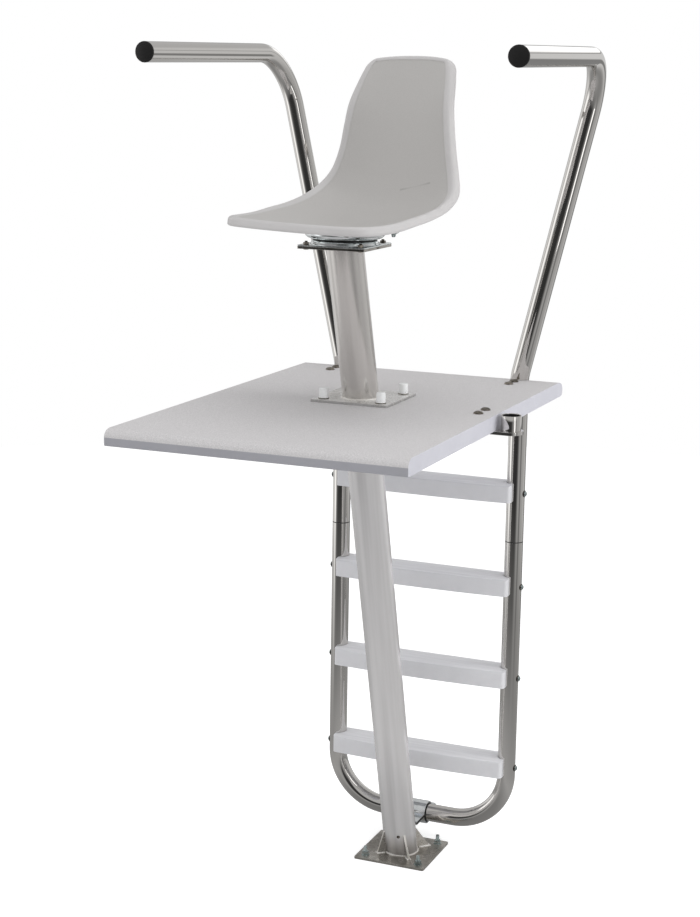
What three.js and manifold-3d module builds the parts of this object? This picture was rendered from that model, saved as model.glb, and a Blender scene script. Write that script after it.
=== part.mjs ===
import * as THREE from "three";
import { mergeVertices } from "three/addons/utils/BufferGeometryUtils.js";
import Module from "manifold-3d";

const wasm = await Module();
wasm.setup();

// Frame: millimetres, z up from the deck, the seat looks towards -y, the ladder stands at +y.
// The origin is the middle of the base plate's underside; +x is the sitter's left.
// Each size below is one named value, and everything else is worked out from them.

// Clearances and mesh fineness
const fitGap = 0.3;
const holeGap = 0.6;
const notchGap = 1.2;
const weldTolerance = 0.001;
const sides = {
  tube: 20,
  bore: 8,
  post: 28,
  bolt: 8,
  hex: 6,
  hole: 6,
  disc: 24,
  cup: 10,
  bend: 5,
  corner: 1,
  nose: 3,
};

// Round stock
const rail = { radius: 24.13, wall: 2.1, inset: 109.5, y: 133, spliceZ: 871.5 };
const post = { radius: 44.45, wall: 3.05 };

// Base plate, its corner webs and the deck anchors
const base = { half: 100, thickness: 6.4, corner: 5, anchorHalf: 76, postY: -2.5 };
const web = {
  thickness: 6,
  height: 66,
  toe: 3,
  flat: 1.5,
  feet: [
    { degrees: 45, reach: 82 },
    { degrees: 135, reach: 82 },
    { degrees: 225, reach: 71 },
    { degrees: 308, reach: 71 },
  ],
};
const anchor = { radius: 5, top: 31, washerRadius: 11, washer: 2, nutRadius: 9.2, nut: 9, foot: 0.5 };

// Posts: the lean of each is its forward travel per unit of height
const lowerPost = { lean: 0.272 };
const seatPost = { lean: 0.3063 };

// Platform board
const board = {
  halfWidth: 358.5,
  frontY: -956,
  backY: 156.5,
  topZ: 1306,
  thickness: 38,
  nose: 22,
  heel: 4,
  rearNoseDepth: 50,
  rearNoseHeight: 30,
  rearHeel: 7,
  corner: 12,
};

// Plates that clamp the board, and the bolts through them
const flange = { half: 99, thickness: 6, corner: 5, y: -327, boltHalf: 74 };
const flangeBolt = { radius: 6, washerRadius: 13, washer: 2, hexRadius: 10.4, hex: 8, stud: 5 };
const cap = { radius: 11.5, height: 24, wall: 2, dome: 2.5 };

// Swivel under the seat
const swivelPlate = { half: 84.5, thickness: 6, corner: 4, topZ: 1688.7, boltHalf: 68 };
const lowerRace = { thickness: 3, radius: 79, shoulder: 6, rise: 9.5, web: 3, bore: 48, pin: 12, pinTop: 27 };
const bearing = { outer: 75, inner: 57, height: 3 };
const upperDish = { rise: 13, foot: 77, radius: 94, wall: 3, hub: 20, plateHalf: 93, corner: 14, steps: 3 };
const swivelBolt = { radius: 4, hexRadius: 7.5, hex: 5.5, stud: 3 };
const seatBolt = { half: 80, radius: 4, hexRadius: 7.5, hex: 6, stud: 7, bite: 6 };
const seatBoss = { radius: 13, height: 45 };

// Seat shell, in its own frame: x across, y to the rear, z up from the deck
const seat = {
  turn: -20,
  wall: 4.5,
  roll: 9,
  lip: 10,
  dishPower: 2.4,
  halfWidth: 210,
  halfLength: 400,
  frontCorner: 62,
  topCorner: 40,
  centre: [
    [-207, 1751],
    [-150, 1742],
    [-85, 1736],
    [-20, 1732],
    [45, 1733],
    [100, 1744],
    [142, 1773],
    [166, 1818],
    [180, 1873],
    [190, 1933],
    [199, 1993],
    [211, 2053],
    [224, 2111],
  ],
  edge: [
    [199, -195, 1753],
    [213, -145, 1752],
    [218, -85, 1755],
    [218.5, -25, 1764],
    [216, 35, 1774],
    [213, 90, 1790],
    [203, 134, 1816],
    [184.5, 154, 1850],
    [167.5, 163, 1900],
    [156.5, 167, 1953],
    [146.5, 174, 2008],
    [134.5, 193, 2061],
    [121.5, 211, 2104],
  ],
  cornerSteps: 4,
  sideSteps: 14,
  endSteps: 4,
  rings: 5,
  rollSteps: 3,
  rimStep: 1,
};

// Handrails: the tube leans out and back to the grip bend, then runs forward level
const grip = {
  baseZ: 1311.8,
  bendOut: 189,
  bendY: 148.5,
  bendZ: 2128,
  endOut: 202.1,
  endY: -595.2,
  endZ: 2120.7,
};
const bendRadius = { foot: 150, grip: 140, ladder: 149 };
const gripCap = { face: 4, plug: 25, bevel: 1.5 };
const tab = { halfWidth: 22, thickness: 5, frontBoltY: 42, boltPitch: 42 };
const carriageBolt = { radius: 4.75, headRadius: 11, head: 5, neck: 6.5, nutRadius: 9, nut: 8, washer: 2 };

// Ladder
const ladder = { footZ: 67.6, spigot: 60, spigotWall: 3 };
const tread = {
  count: 4,
  firstBoltZ: 238,
  pitch: 254.6,
  endInset: 2,
  frontY: 88,
  depth: 86,
  bow: 9,
  bowSteps: 4,
  below: 20,
  above: 26,
  crown: 4,
  edge: 5,
  corner: 9,
  skin: 7,
  endBlock: 46,
};
const treadBolt = { radius: 4, headRadius: 9, head: 6.5, bite: 36 };

// Clamp that ties the ladder's cross tube to the post
const clamp = {
  halfWidth: 26,
  liner: 3,
  overhang: 1.5,
  shell: 4,
  frontReach: 88,
  backReach: 60,
  boltOut: 46,
  boltX: -13,
  boltRadius: 4,
  hexRadius: 7.5,
  hex: 6,
  stud: 5,
  tabY: 20,
  tabHalfWidth: 14,
};

// Umbrella sleeve on its bracket
const umbrella = {
  outset: 28.5,
  y: -366,
  radius: 22.2,
  wall: 2.4,
  rise: 36.5,
  plateHalf: 30,
  plate: 8,
  plateInset: 66.5,
  boltInset: 42.5,
  boltHalf: 26,
};

// Derived levels
const plateTopZ = base.thickness;
const boardBottomZ = board.topZ - board.thickness;
const flangeTopZ = board.topZ + flange.thickness;
const supportBottomZ = boardBottomZ - flange.thickness;
const swivelPlateBottomZ = swivelPlate.topZ - swivelPlate.thickness;
const raceTopZ = swivelPlate.topZ + lowerRace.thickness + lowerRace.rise;
const bearingTopZ = raceTopZ + bearing.height;
const dishFootZ = bearingTopZ + fitGap;
const dishTopZ = dishFootZ + upperDish.rise;
const seatPlateTopZ = dishTopZ + upperDish.wall;
const seatPostFootY = base.postY - lowerPost.lean * (boardBottomZ - plateTopZ);
const swivelY = seatPostFootY - seatPost.lean * (swivelPlateBottomZ - flangeTopZ);
const boreRadius = rail.radius - rail.wall;
const railX = board.halfWidth - rail.inset;
const treadHalfLength = railX - tread.endInset;
const sleeveX = board.halfWidth + umbrella.outset;
const sleeveBoltX = board.halfWidth - umbrella.boltInset;
const sideSigns = [1, -1];
const sideNames = { "1": "left", "-1": "right" };

// Materials
function finish(color, roughness, metalness) {
  return new THREE.MeshStandardMaterial({ color, roughness, metalness });
}
const polished = finish(0xb9b7b2, 0.18, 1);
const satin = finish(0xa8a6a1, 0.38, 1);
const zinc = finish(0xa9b0ae, 0.4, 1);
const boardPlastic = finish(0xd2d1d2, 0.6, 0);
const treadPlastic = finish(0xcfd0d3, 0.5, 0);
const seatPlastic = finish(0xb4b2af, 0.45, 0);
const whitePlastic = finish(0xf0f1f2, 0.4, 0);
const blackRubber = finish(0x161616, 0.7, 0);

const group = new THREE.Group();
function add(name, geometry, material) {
  const mesh = new THREE.Mesh(geometry, material);
  mesh.name = name;
  group.add(mesh);
}

// Solids in and out of the cutting library
function toSolid(geometry) {
  const loose = geometry.index ? geometry.toNonIndexed() : geometry;
  const bare = new THREE.BufferGeometry();
  bare.setAttribute("position", loose.getAttribute("position"));
  const merged = mergeVertices(bare, weldTolerance);
  const triVerts = new Uint32Array(merged.index.array);
  const vertProperties = merged.attributes.position.array;
  return new wasm.Manifold(new wasm.Mesh({ numProp: 3, vertProperties, triVerts }));
}

function toGeometry(solid) {
  const mesh = solid.getMesh();
  const geometry = new THREE.BufferGeometry();
  geometry.setAttribute("position", new THREE.BufferAttribute(new Float32Array(mesh.vertProperties), 3));
  geometry.setIndex(new THREE.BufferAttribute(new Uint32Array(mesh.triVerts), 1));
  return geometry;
}

function cut(solid, tools) {
  return tools.reduce((left, tool) => left.subtract(tool), solid);
}

function join(solids) {
  return solids.reduce((sum, solid) => sum.add(solid));
}

// Outlines
function roundedRectangle(x0, x1, y0, y1, radius) {
  const shape = new THREE.Shape();
  shape.absarc(x1 - radius, y0 + radius, radius, -Math.PI / 2, 0);
  shape.absarc(x1 - radius, y1 - radius, radius, 0, Math.PI / 2);
  shape.absarc(x0 + radius, y1 - radius, radius, Math.PI / 2, Math.PI);
  shape.absarc(x0 + radius, y0 + radius, radius, Math.PI, 1.5 * Math.PI);
  return shape;
}

function circleOutline(shape, x, y, radiusX, radiusY) {
  shape.absellipse(x, y, radiusX, radiusY, 0, 2 * Math.PI);
  return shape;
}

function slab(shape, z0, z1, curveSegments, steps = 1) {
  const options = { depth: z1 - z0, bevelEnabled: false, curveSegments, steps };
  const geometry = new THREE.ExtrudeGeometry(shape, options);
  geometry.translate(0, 0, z0);
  return geometry;
}

// A profile drawn in y and z, drawn out along x
function alongX(shape, x0, x1, curveSegments, steps = 1) {
  const geometry = slab(shape, x0, x1, curveSegments, steps);
  const turn = new THREE.Matrix4().makeBasis(
    new THREE.Vector3(0, 1, 0),
    new THREE.Vector3(0, 0, 1),
    new THREE.Vector3(1, 0, 0),
  );
  geometry.applyMatrix4(turn);
  return geometry;
}

function rod(x, y, z0, z1, radius, count) {
  const geometry = new THREE.CylinderGeometry(radius, radius, z1 - z0, count);
  geometry.rotateX(Math.PI / 2);
  geometry.translate(x, y, (z0 + z1) / 2);
  return toSolid(geometry);
}

function crossRod(y, z, x0, x1, radius, count) {
  const geometry = new THREE.CylinderGeometry(radius, radius, x1 - x0, count);
  geometry.rotateZ(-Math.PI / 2);
  geometry.translate((x0 + x1) / 2, y, z);
  return toSolid(geometry);
}

// A hole's flats clear the round piece that goes through it
function hole(x, y, z0, z1, radius, count) {
  return rod(x, y, z0, z1, radius / Math.cos(Math.PI / count), count);
}

function crossHole(y, z, x0, x1, radius, count) {
  return crossRod(y, z, x0, x1, radius / Math.cos(Math.PI / count), count);
}

function turned(points, count) {
  const profile = points.map(([r, z]) => new THREE.Vector2(r, z));
  const geometry = new THREE.LatheGeometry(profile, count);
  geometry.rotateX(Math.PI / 2);
  return geometry;
}

// A bolt is a shank with wider collars on it: washers, heads and nuts
function bolt(x, y, shank, collars) {
  const parts = [rod(x, y, shank.from, shank.to, shank.radius, sides.bolt)];
  for (const collar of collars) {
    parts.push(rod(x, y, collar.from, collar.to, collar.radius, collar.sides));
  }
  return join(parts);
}

// Leaning post: the level cut through a leaning round tube is an ellipse, carried along the lean
function leaningSolid(radius, lean, footY, z0, z1, count) {
  const stretched = radius * Math.hypot(1, lean);
  const shape = circleOutline(new THREE.Shape(), 0, 0, radius, stretched);
  const geometry = slab(shape, z0, z1, count / 2);
  const shear = new THREE.Matrix4().set(1, 0, 0, 0, 0, 1, -lean, footY + lean * z0, 0, 0, 1, 0, 0, 0, 0, 1);
  geometry.applyMatrix4(shear);
  return toSolid(geometry);
}

function leaningPost(lean, footY, z0, z1) {
  const outer = leaningSolid(post.radius, lean, footY, z0, z1, sides.post);
  const bore = leaningSolid(post.radius - post.wall, lean, footY, z0, z1, sides.post / 2);
  return outer.subtract(bore);
}

// Bent tube: straight runs joined by arcs, with a ring only where the tube starts or goes on bending
class BentPath extends THREE.Curve {
  constructor(corners, radii) {
    super();
    this.stations = [];
    corners.forEach((corner, i) => {
      if (i === 0 || i === corners.length - 1) {
        const other = corners[i === 0 ? 1 : i - 1];
        const along = i === 0 ? other.clone().sub(corner) : corner.clone().sub(other);
        this.stations.push({ point: corner, tangent: along.normalize() });
        return;
      }
      this.bend(corners[i - 1], corner, corners[i + 1], radii[i - 1]);
    });
    this.steps = this.stations.length - 1;
  }

  bend(before, corner, after, radius) {
    const into = corner.clone().sub(before).normalize();
    const out = after.clone().sub(corner).normalize();
    const angle = into.angleTo(out);
    const start = corner.clone().addScaledVector(into, -radius * Math.tan(angle / 2));
    const inward = out.clone().addScaledVector(into, -out.dot(into)).normalize();
    const centre = start.clone().addScaledVector(inward, radius);
    const count = Math.max(2, Math.ceil((sides.bend * angle) / (Math.PI / 2)));
    for (let k = 0; k <= count; k += 1) {
      const a = (angle * k) / count;
      const point = centre.clone().addScaledVector(inward, -radius * Math.cos(a));
      point.addScaledVector(into, radius * Math.sin(a));
      const tangent = into.clone().multiplyScalar(Math.cos(a)).addScaledVector(inward, Math.sin(a));
      this.stations.push({ point, tangent });
    }
  }

  getPointAt(u) {
    return this.stations[Math.round(u * this.steps)].point.clone();
  }

  getTangentAt(u) {
    return this.stations[Math.round(u * this.steps)].tangent.clone();
  }

  getPoint(u) {
    return this.getPointAt(u);
  }
}

// The same path with both ends carried on, for a bore that runs right through
function carriedOn(path, extra) {
  const longer = new BentPath([path.stations[0].point, path.stations[path.steps].point], []);
  longer.stations = path.stations.map(({ point, tangent }) => ({ point: point.clone(), tangent }));
  longer.steps = path.steps;
  longer.stations[0].point.addScaledVector(path.stations[0].tangent, -extra);
  longer.stations[path.steps].point.addScaledVector(path.stations[path.steps].tangent, extra);
  return longer;
}

function bentRod(path, radius, count) {
  const shape = circleOutline(new THREE.Shape(), 0, 0, radius, radius);
  const options = { extrudePath: path, steps: path.steps, bevelEnabled: false, curveSegments: count / 2 };
  return toSolid(new THREE.ExtrudeGeometry(shape, options));
}

function bentTube(path) {
  const bore = bentRod(carriedOn(path, rail.wall), boreRadius, sides.bore);
  return bentRod(path, rail.radius, sides.tube).subtract(bore);
}

// Base
function postAtFoot(extra) {
  const top = plateTopZ + 2 * web.height;
  return leaningSolid(post.radius + extra, lowerPost.lean, base.postY, plateTopZ, top, sides.post);
}

function webPlate({ degrees, reach }) {
  const direction = THREE.MathUtils.degToRad(degrees);
  const postReach = post.radius - lowerPost.lean * web.height * Math.sin(direction);
  const outline = new THREE.Shape();
  outline.moveTo(0, 0);
  outline.lineTo(reach, 0);
  outline.lineTo(reach, web.toe);
  outline.lineTo(postReach + web.flat, web.height);
  outline.lineTo(0, web.height);
  const geometry = slab(outline, -web.thickness / 2, web.thickness / 2, 1);
  geometry.rotateX(Math.PI / 2);
  geometry.rotateZ(direction);
  geometry.translate(0, base.postY, plateTopZ);
  return toSolid(geometry);
}

function basePlate() {
  const outline = roundedRectangle(-base.half, base.half, -base.half, base.half, base.corner);
  const plate = toSolid(slab(outline, 0, plateTopZ, sides.corner));
  const webs = web.feet.map(webPlate);
  const holes = [];
  for (const sx of sideSigns) {
    for (const sy of sideSigns) {
      const x = sx * base.anchorHalf;
      const y = sy * base.anchorHalf;
      holes.push(hole(x, y, -web.toe, plateTopZ + web.toe, anchor.radius + holeGap, sides.hole));
    }
  }
  const webbed = join(webs).subtract(postAtFoot(fitGap));
  return cut(plate.add(webbed), holes);
}

function deckAnchor(x, y) {
  const nutFoot = plateTopZ + anchor.washer;
  const shank = { from: anchor.foot, to: anchor.top, radius: anchor.radius };
  const washer = { from: plateTopZ, to: nutFoot, radius: anchor.washerRadius, sides: sides.bolt };
  const nut = { from: nutFoot, to: nutFoot + anchor.nut, radius: anchor.nutRadius, sides: sides.hex };
  return bolt(x, y, shank, [washer, nut]);
}

// Board
function boardProfile() {
  const top = board.topZ;
  const bottom = boardBottomZ;
  const rearY = board.backY - board.rearNoseDepth;
  const rearZ = top - board.rearNoseHeight;
  const { heel, rearHeel } = board;
  const shape = new THREE.Shape();
  shape.absarc(board.frontY + heel, bottom + heel, heel, Math.PI, 1.5 * Math.PI);
  shape.absarc(board.backY - rearHeel, bottom + rearHeel, rearHeel, 1.5 * Math.PI, 2 * Math.PI);
  shape.absellipse(rearY, rearZ, board.rearNoseDepth, board.rearNoseHeight, 0, Math.PI / 2);
  shape.absarc(board.frontY + board.nose, top - board.nose, board.nose, Math.PI / 2, Math.PI);
  return shape;
}

// The rails slide into round-ended notches that are open at the board's rear edge
function railNotch(side) {
  const x = side * railX;
  const radius = rail.radius + notchGap;
  const outer = radius / Math.cos(Math.PI / sides.tube);
  const openY = board.backY + board.corner;
  const shape = new THREE.Shape();
  shape.absarc(x, rail.y, outer, Math.PI, 2 * Math.PI);
  shape.lineTo(x + outer, openY);
  shape.lineTo(x - outer, openY);
  return toSolid(slab(shape, supportBottomZ, flangeTopZ, sides.tube / 2));
}

function boltPlaces() {
  const places = [];
  for (const sx of sideSigns) {
    for (const sy of sideSigns) {
      places.push([sx * flange.boltHalf, flange.y + sy * flange.boltHalf, flangeBolt.radius]);
      const y = tab.frontBoltY + (sy > 0 ? tab.boltPitch : 0);
      places.push([sx * railX, y, carriageBolt.radius]);
    }
    places.push([sleeveBoltX, umbrella.y + sx * umbrella.boltHalf, carriageBolt.radius]);
  }
  return places;
}

function boltHoles(z0, z1) {
  return boltPlaces().map(([x, y, radius]) => hole(x, y, z0, z1, radius + holeGap, sides.hole));
}

function platform() {
  const body = toSolid(alongX(boardProfile(), -board.halfWidth, board.halfWidth, sides.nose));
  const plan = roundedRectangle(-board.halfWidth, board.halfWidth, board.frontY, board.backY, board.corner);
  const trimmed = body.intersect(toSolid(slab(plan, supportBottomZ, flangeTopZ, sides.nose)));
  return cut(trimmed, [...sideSigns.map(railNotch), ...boltHoles(supportBottomZ, flangeTopZ)]);
}

function squarePlate(half, corner, y, z0, z1) {
  return toSolid(slab(roundedRectangle(-half, half, y - half, y + half, corner), z0, z1, sides.corner));
}

function flangePlate(z0) {
  const plate = squarePlate(flange.half, flange.corner, flange.y, z0, z0 + flange.thickness);
  return cut(plate, boltHoles(z0 - flange.thickness, z0 + 2 * flange.thickness));
}

function flangeBoltSolid(x, y) {
  const headTop = supportBottomZ;
  const nutFoot = flangeTopZ + flangeBolt.washer;
  const nutTop = nutFoot + flangeBolt.hex;
  const headFoot = headTop - flangeBolt.hex;
  return bolt(x, y, { from: headFoot, to: nutTop + flangeBolt.stud, radius: flangeBolt.radius }, [
    { from: headFoot, to: headTop, radius: flangeBolt.hexRadius, sides: sides.hex },
    { from: flangeTopZ, to: nutFoot, radius: flangeBolt.washerRadius, sides: sides.bolt },
    { from: nutFoot, to: nutTop, radius: flangeBolt.hexRadius - cap.wall, sides: sides.hex },
  ]);
}

function nutCap(x, y) {
  const foot = flangeTopZ + flangeBolt.washer;
  const top = foot + cap.height;
  const inner = cap.radius - cap.wall;
  const geometry = turned(
    [
      [inner, foot],
      [cap.radius, foot],
      [cap.radius, top - cap.dome],
      [cap.radius - cap.dome, top],
      [0, top],
      [0, top - cap.wall],
      [inner, top - cap.wall],
      [inner, foot],
    ],
    sides.cup,
  );
  geometry.translate(x, y, 0);
  return geometry;
}

// Swivel
function swivelMountPlate() {
  const z0 = swivelPlateBottomZ;
  const z1 = swivelPlate.topZ;
  const plate = squarePlate(swivelPlate.half, swivelPlate.corner, swivelY, z0, z1);
  return cut(plate, swivelHoles(z0, z1));
}

function swivelHoles(z0, z1) {
  return cornerPlaces(swivelPlate.boltHalf).map(([x, y]) =>
    hole(x, swivelY + y, z0 - holeGap, z1 + holeGap, swivelBolt.radius + holeGap, sides.hole),
  );
}

function cornerPlaces(half) {
  return [
    [half, -half],
    [half, half],
    [-half, half],
    [-half, -half],
  ];
}

function swivelLower() {
  const z0 = swivelPlate.topZ;
  const z1 = z0 + lowerRace.thickness;
  const flat = squarePlate(swivelPlate.half, swivelPlate.corner, swivelY, z0, z1);
  const race = turned(
    [
      [lowerRace.bore, z0 + lowerRace.web / 2],
      [lowerRace.radius, z0 + lowerRace.web / 2],
      [lowerRace.radius, raceTopZ - lowerRace.shoulder],
      [lowerRace.radius - lowerRace.shoulder / 2, raceTopZ],
      [lowerRace.bore, raceTopZ],
      [lowerRace.bore, z0 + lowerRace.web / 2],
    ],
    sides.disc,
  );
  race.translate(0, swivelY, 0);
  const pin = rod(0, swivelY, z0 + lowerRace.web / 2, z0 + lowerRace.pinTop, lowerRace.pin, sides.cup);
  return cut(join([flat, toSolid(race), pin]), swivelHoles(z0, z1));
}

function bearingRing() {
  const z0 = raceTopZ;
  const geometry = turned(
    [
      [bearing.inner, z0],
      [bearing.outer, z0],
      [bearing.outer, bearingTopZ],
      [bearing.inner, bearingTopZ],
      [bearing.inner, z0],
    ],
    sides.disc,
  );
  geometry.translate(0, swivelY, 0);
  return geometry;
}

// The dish's flank is a quarter ellipse from its foot out to its rim
function swivelUpper() {
  const wall = upperDish.wall;
  const flank = new THREE.EllipseCurve(
    upperDish.foot,
    dishTopZ,
    upperDish.radius - upperDish.foot,
    upperDish.rise,
    -Math.PI / 2,
    0,
  ).getPoints(upperDish.steps);
  const outer = flank.map((p) => [p.x, p.y]);
  const profile = [
    [bearing.inner, dishFootZ],
    ...outer,
    [upperDish.radius, dishTopZ + wall / 2],
    [upperDish.radius - wall, dishTopZ + wall / 2],
    [upperDish.radius - wall, dishTopZ],
    [upperDish.foot, dishFootZ + wall],
    [bearing.inner, dishFootZ + wall],
    [bearing.inner, dishFootZ],
  ];
  const dish = toSolid(turned(profile, sides.disc));
  const plate = toSolid(
    slab(
      roundedRectangle(
        -upperDish.plateHalf,
        upperDish.plateHalf,
        -upperDish.plateHalf,
        upperDish.plateHalf,
        upperDish.corner,
      ),
      dishTopZ,
      seatPlateTopZ,
      sides.nose,
    ),
  );
  const holes = cornerPlaces(seatBolt.half).map(([x, y]) =>
    hole(x, y, dishTopZ - holeGap, seatPlateTopZ + holeGap, seatBolt.radius + holeGap, sides.hole),
  );
  const pinHole = hole(0, 0, dishFootZ - holeGap, seatPlateTopZ + holeGap, lowerRace.pin + fitGap, sides.cup);
  const hub = rod(0, 0, dishFootZ, dishTopZ + wall / 2, upperDish.hub, sides.cup);
  return cut(join([dish, plate, hub]), [pinHole, ...holes]);
}

function swivelBoltSolid(x, y) {
  const lowerFace = swivelPlateBottomZ;
  const upperFace = swivelPlate.topZ + lowerRace.thickness;
  const top = upperFace + swivelBolt.hex + swivelBolt.stud;
  const radius = swivelBolt.hexRadius;
  return bolt(x, swivelY + y, { from: lowerFace - swivelBolt.hex, to: top, radius: swivelBolt.radius }, [
    { from: lowerFace - swivelBolt.hex, to: lowerFace, radius, sides: sides.hex },
    { from: upperFace, to: upperFace + swivelBolt.hex, radius, sides: sides.hex },
  ]);
}

function seatBoltSolid(x, y) {
  const nutFoot = dishTopZ - seatBolt.hex;
  const shank = { from: nutFoot - seatBolt.stud, to: seatPlateTopZ + seatBolt.bite, radius: seatBolt.radius };
  const nut = { from: nutFoot, to: dishTopZ, radius: seatBolt.hexRadius, sides: sides.hex };
  return bolt(x, y, shank, [nut]);
}

// Seat shell: centre line and edge line are smooth curves, and the dish runs between them
const centreLine = new THREE.CatmullRomCurve3(
  seat.centre.map(([y, z]) => new THREE.Vector3(0, y, z)),
  false,
  "catmullrom",
);
const edgeLine = new THREE.CatmullRomCurve3(
  seat.edge.map(([x, y, z]) => new THREE.Vector3(x, y, z)),
  false,
  "catmullrom",
);

function seatPoint(across, along) {
  const t = THREE.MathUtils.clamp((along + 1) / 2, 0, 1);
  const middle = centreLine.getPoint(t);
  const edge = edgeLine.getPoint(t);
  const share = Math.abs(across) ** seat.dishPower;
  return new THREE.Vector3(
    across * edge.x,
    THREE.MathUtils.lerp(middle.y, edge.y, share),
    THREE.MathUtils.lerp(middle.z, edge.z, share),
  );
}

// The rim's loop, drawn on the flattened shell and then scaled to run from -1 to 1 both ways
function seatLoop() {
  const corner = (x, y, radius, from) => {
    const steps = from % Math.PI ? seat.sideSteps : seat.endSteps;
    return { x, y, radius, from, steps };
  };
  const w = seat.halfWidth;
  const l = seat.halfLength;
  const front = seat.frontCorner;
  const top = seat.topCorner;
  const corners = [
    corner(w - front, front - l, front, -Math.PI / 2),
    corner(w - top, l - top, top, 0),
    corner(top - w, l - top, top, Math.PI / 2),
    corner(front - w, front - l, front, Math.PI),
  ];
  const loop = [];
  corners.forEach(({ x, y, radius, from, steps }, i) => {
    for (let k = 0; k <= seat.cornerSteps; k += 1) {
      const a = from + (Math.PI / 2) * (k / seat.cornerSteps);
      loop.push([x + radius * Math.cos(a), y + radius * Math.sin(a)]);
    }
    const last = loop[loop.length - 1];
    const next = corners[(i + 1) % corners.length];
    const a = next.from;
    const goal = [next.x + next.radius * Math.cos(a), next.y + next.radius * Math.sin(a)];
    for (let k = 1; k < steps; k += 1) {
      loop.push(last.map((v, axis) => THREE.MathUtils.lerp(v, goal[axis], k / steps)));
    }
  });
  return loop.map(([x, y]) => [x / w, y / l]);
}

const rimLoop = seatLoop();

function ringPoint(column, size) {
  const [across, along] = rimLoop[(column + rimLoop.length) % rimLoop.length];
  return seatPoint(size * across, size * along);
}

// Directions at a point of a ring: outward across the rim, and down through the wall
function seatFrameAt(column, size) {
  const here = ringPoint(column, size);
  const around = ringPoint(column + 1, size).sub(ringPoint(column - 1, size)).normalize();
  const outward = here.clone().sub(ringPoint(column, size - seat.rimStep / seat.halfLength));
  outward.addScaledVector(around, -outward.dot(around)).normalize();
  const under = around.clone().cross(outward).normalize();
  return { here, outward, under };
}

function seatColumn(column) {
  const points = [];
  for (let i = 1; i <= seat.rings; i += 1) {
    points.push(ringPoint(column, i / seat.rings));
  }
  const { here, outward, under } = seatFrameAt(column, 1);
  const centre = here.clone().addScaledVector(under, seat.roll);
  const arc = (radius, k) => {
    const a = (Math.PI / 2) * (k / seat.rollSteps);
    const point = centre.clone().addScaledVector(outward, radius * Math.sin(a));
    return point.addScaledVector(under, -radius * Math.cos(a));
  };
  for (let k = 1; k <= seat.rollSteps; k += 1) {
    points.push(arc(seat.roll, k));
  }
  const innerRadius = seat.roll - seat.wall;
  points.push(arc(seat.roll, seat.rollSteps).addScaledVector(under, seat.lip));
  points.push(arc(innerRadius, seat.rollSteps).addScaledVector(under, seat.lip));
  for (let k = seat.rollSteps; k >= 0; k -= 1) {
    points.push(arc(innerRadius, k));
  }
  for (let i = seat.rings - 1; i >= 1; i -= 1) {
    const frame = seatFrameAt(column, i / seat.rings);
    points.push(frame.here.addScaledVector(frame.under, seat.wall));
  }
  return points;
}

function seatShellGeometry() {
  const columns = rimLoop.map((_, i) => seatColumn(i));
  const count = columns.length;
  const rows = columns[0].length;
  const top = seatPoint(0, 0);
  const bottom = top.clone();
  bottom.z -= seat.wall;
  const points = [top, bottom, ...columns.flat()];
  const at = (column, row) => 2 + (column % count) * rows + row;
  const index = [];
  for (let i = 0; i < count; i += 1) {
    index.push(0, at(i, 0), at(i + 1, 0));
    index.push(1, at(i + 1, rows - 1), at(i, rows - 1));
    for (let j = 0; j + 1 < rows; j += 1) {
      index.push(at(i, j), at(i, j + 1), at(i + 1, j + 1));
      index.push(at(i, j), at(i + 1, j + 1), at(i + 1, j));
    }
  }
  const geometry = new THREE.BufferGeometry().setFromPoints(points);
  geometry.setIndex(index);
  return geometry;
}

// Each boss ends inside the wall, so that it is one with the shell
function seatBosses(shell) {
  const lifted = shell.translate(0, 0, seat.wall / 2);
  const top = seatPlateTopZ + seatBoss.height;
  return cornerPlaces(seatBolt.half).map(([x, y]) => {
    const boss = rod(x, y, seatPlateTopZ, top, seatBoss.radius, sides.hole);
    const pieces = boss.subtract(lifted).decompose();
    pieces.sort((low, high) => low.boundingBox().min[2] - high.boundingBox().min[2]);
    return pieces[0];
  });
}

function seatShell() {
  const shell = toSolid(seatShellGeometry());
  const bosses = seatBosses(shell);
  const pockets = cornerPlaces(seatBolt.half).map(([x, y]) =>
    hole(x, y, dishTopZ, seatPlateTopZ + seatBolt.bite + fitGap, seatBolt.radius + fitGap, sides.hole),
  );
  return cut(join([shell, ...bosses]), pockets);
}

function turnSeat(geometry) {
  geometry.rotateZ(THREE.MathUtils.degToRad(seat.turn));
  geometry.translate(0, swivelY, 0);
  return geometry;
}

// Ladder and handrails
function treadBoltZ(k) {
  return tread.firstBoltZ + k * tread.pitch;
}

function treadBoltHoles(k) {
  const reach = railX + 2 * rail.radius;
  return crossHole(rail.y, treadBoltZ(k), -reach, reach, treadBolt.radius + fitGap, sides.hole);
}

function spigot(side) {
  const geometry = turned(
    [
      [boreRadius - ladder.spigotWall, -ladder.spigot],
      [boreRadius + fitGap, -ladder.spigot],
      [boreRadius + fitGap, 0],
      [boreRadius * Math.cos(Math.PI / sides.bore) - fitGap, 0],
      [boreRadius * Math.cos(Math.PI / sides.bore) - fitGap, ladder.spigot],
      [boreRadius - ladder.spigotWall, ladder.spigot],
      [boreRadius - ladder.spigotWall, -ladder.spigot],
    ],
    sides.bore,
  );
  geometry.translate(side * railX, rail.y, rail.spliceZ);
  return toSolid(geometry);
}

function ladderFrame() {
  const x = railX;
  const corners = [
    new THREE.Vector3(x, rail.y, rail.spliceZ),
    new THREE.Vector3(x, rail.y, ladder.footZ),
    new THREE.Vector3(-x, rail.y, ladder.footZ),
    new THREE.Vector3(-x, rail.y, rail.spliceZ),
  ];
  const tube = bentTube(new BentPath(corners, [bendRadius.ladder, bendRadius.ladder]));
  const holes = [];
  for (let k = 0; treadBoltZ(k) < rail.spliceZ; k += 1) {
    holes.push(treadBoltHoles(k));
  }
  return cut(join([tube, spigot(1), spigot(-1)]), holes);
}

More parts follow.
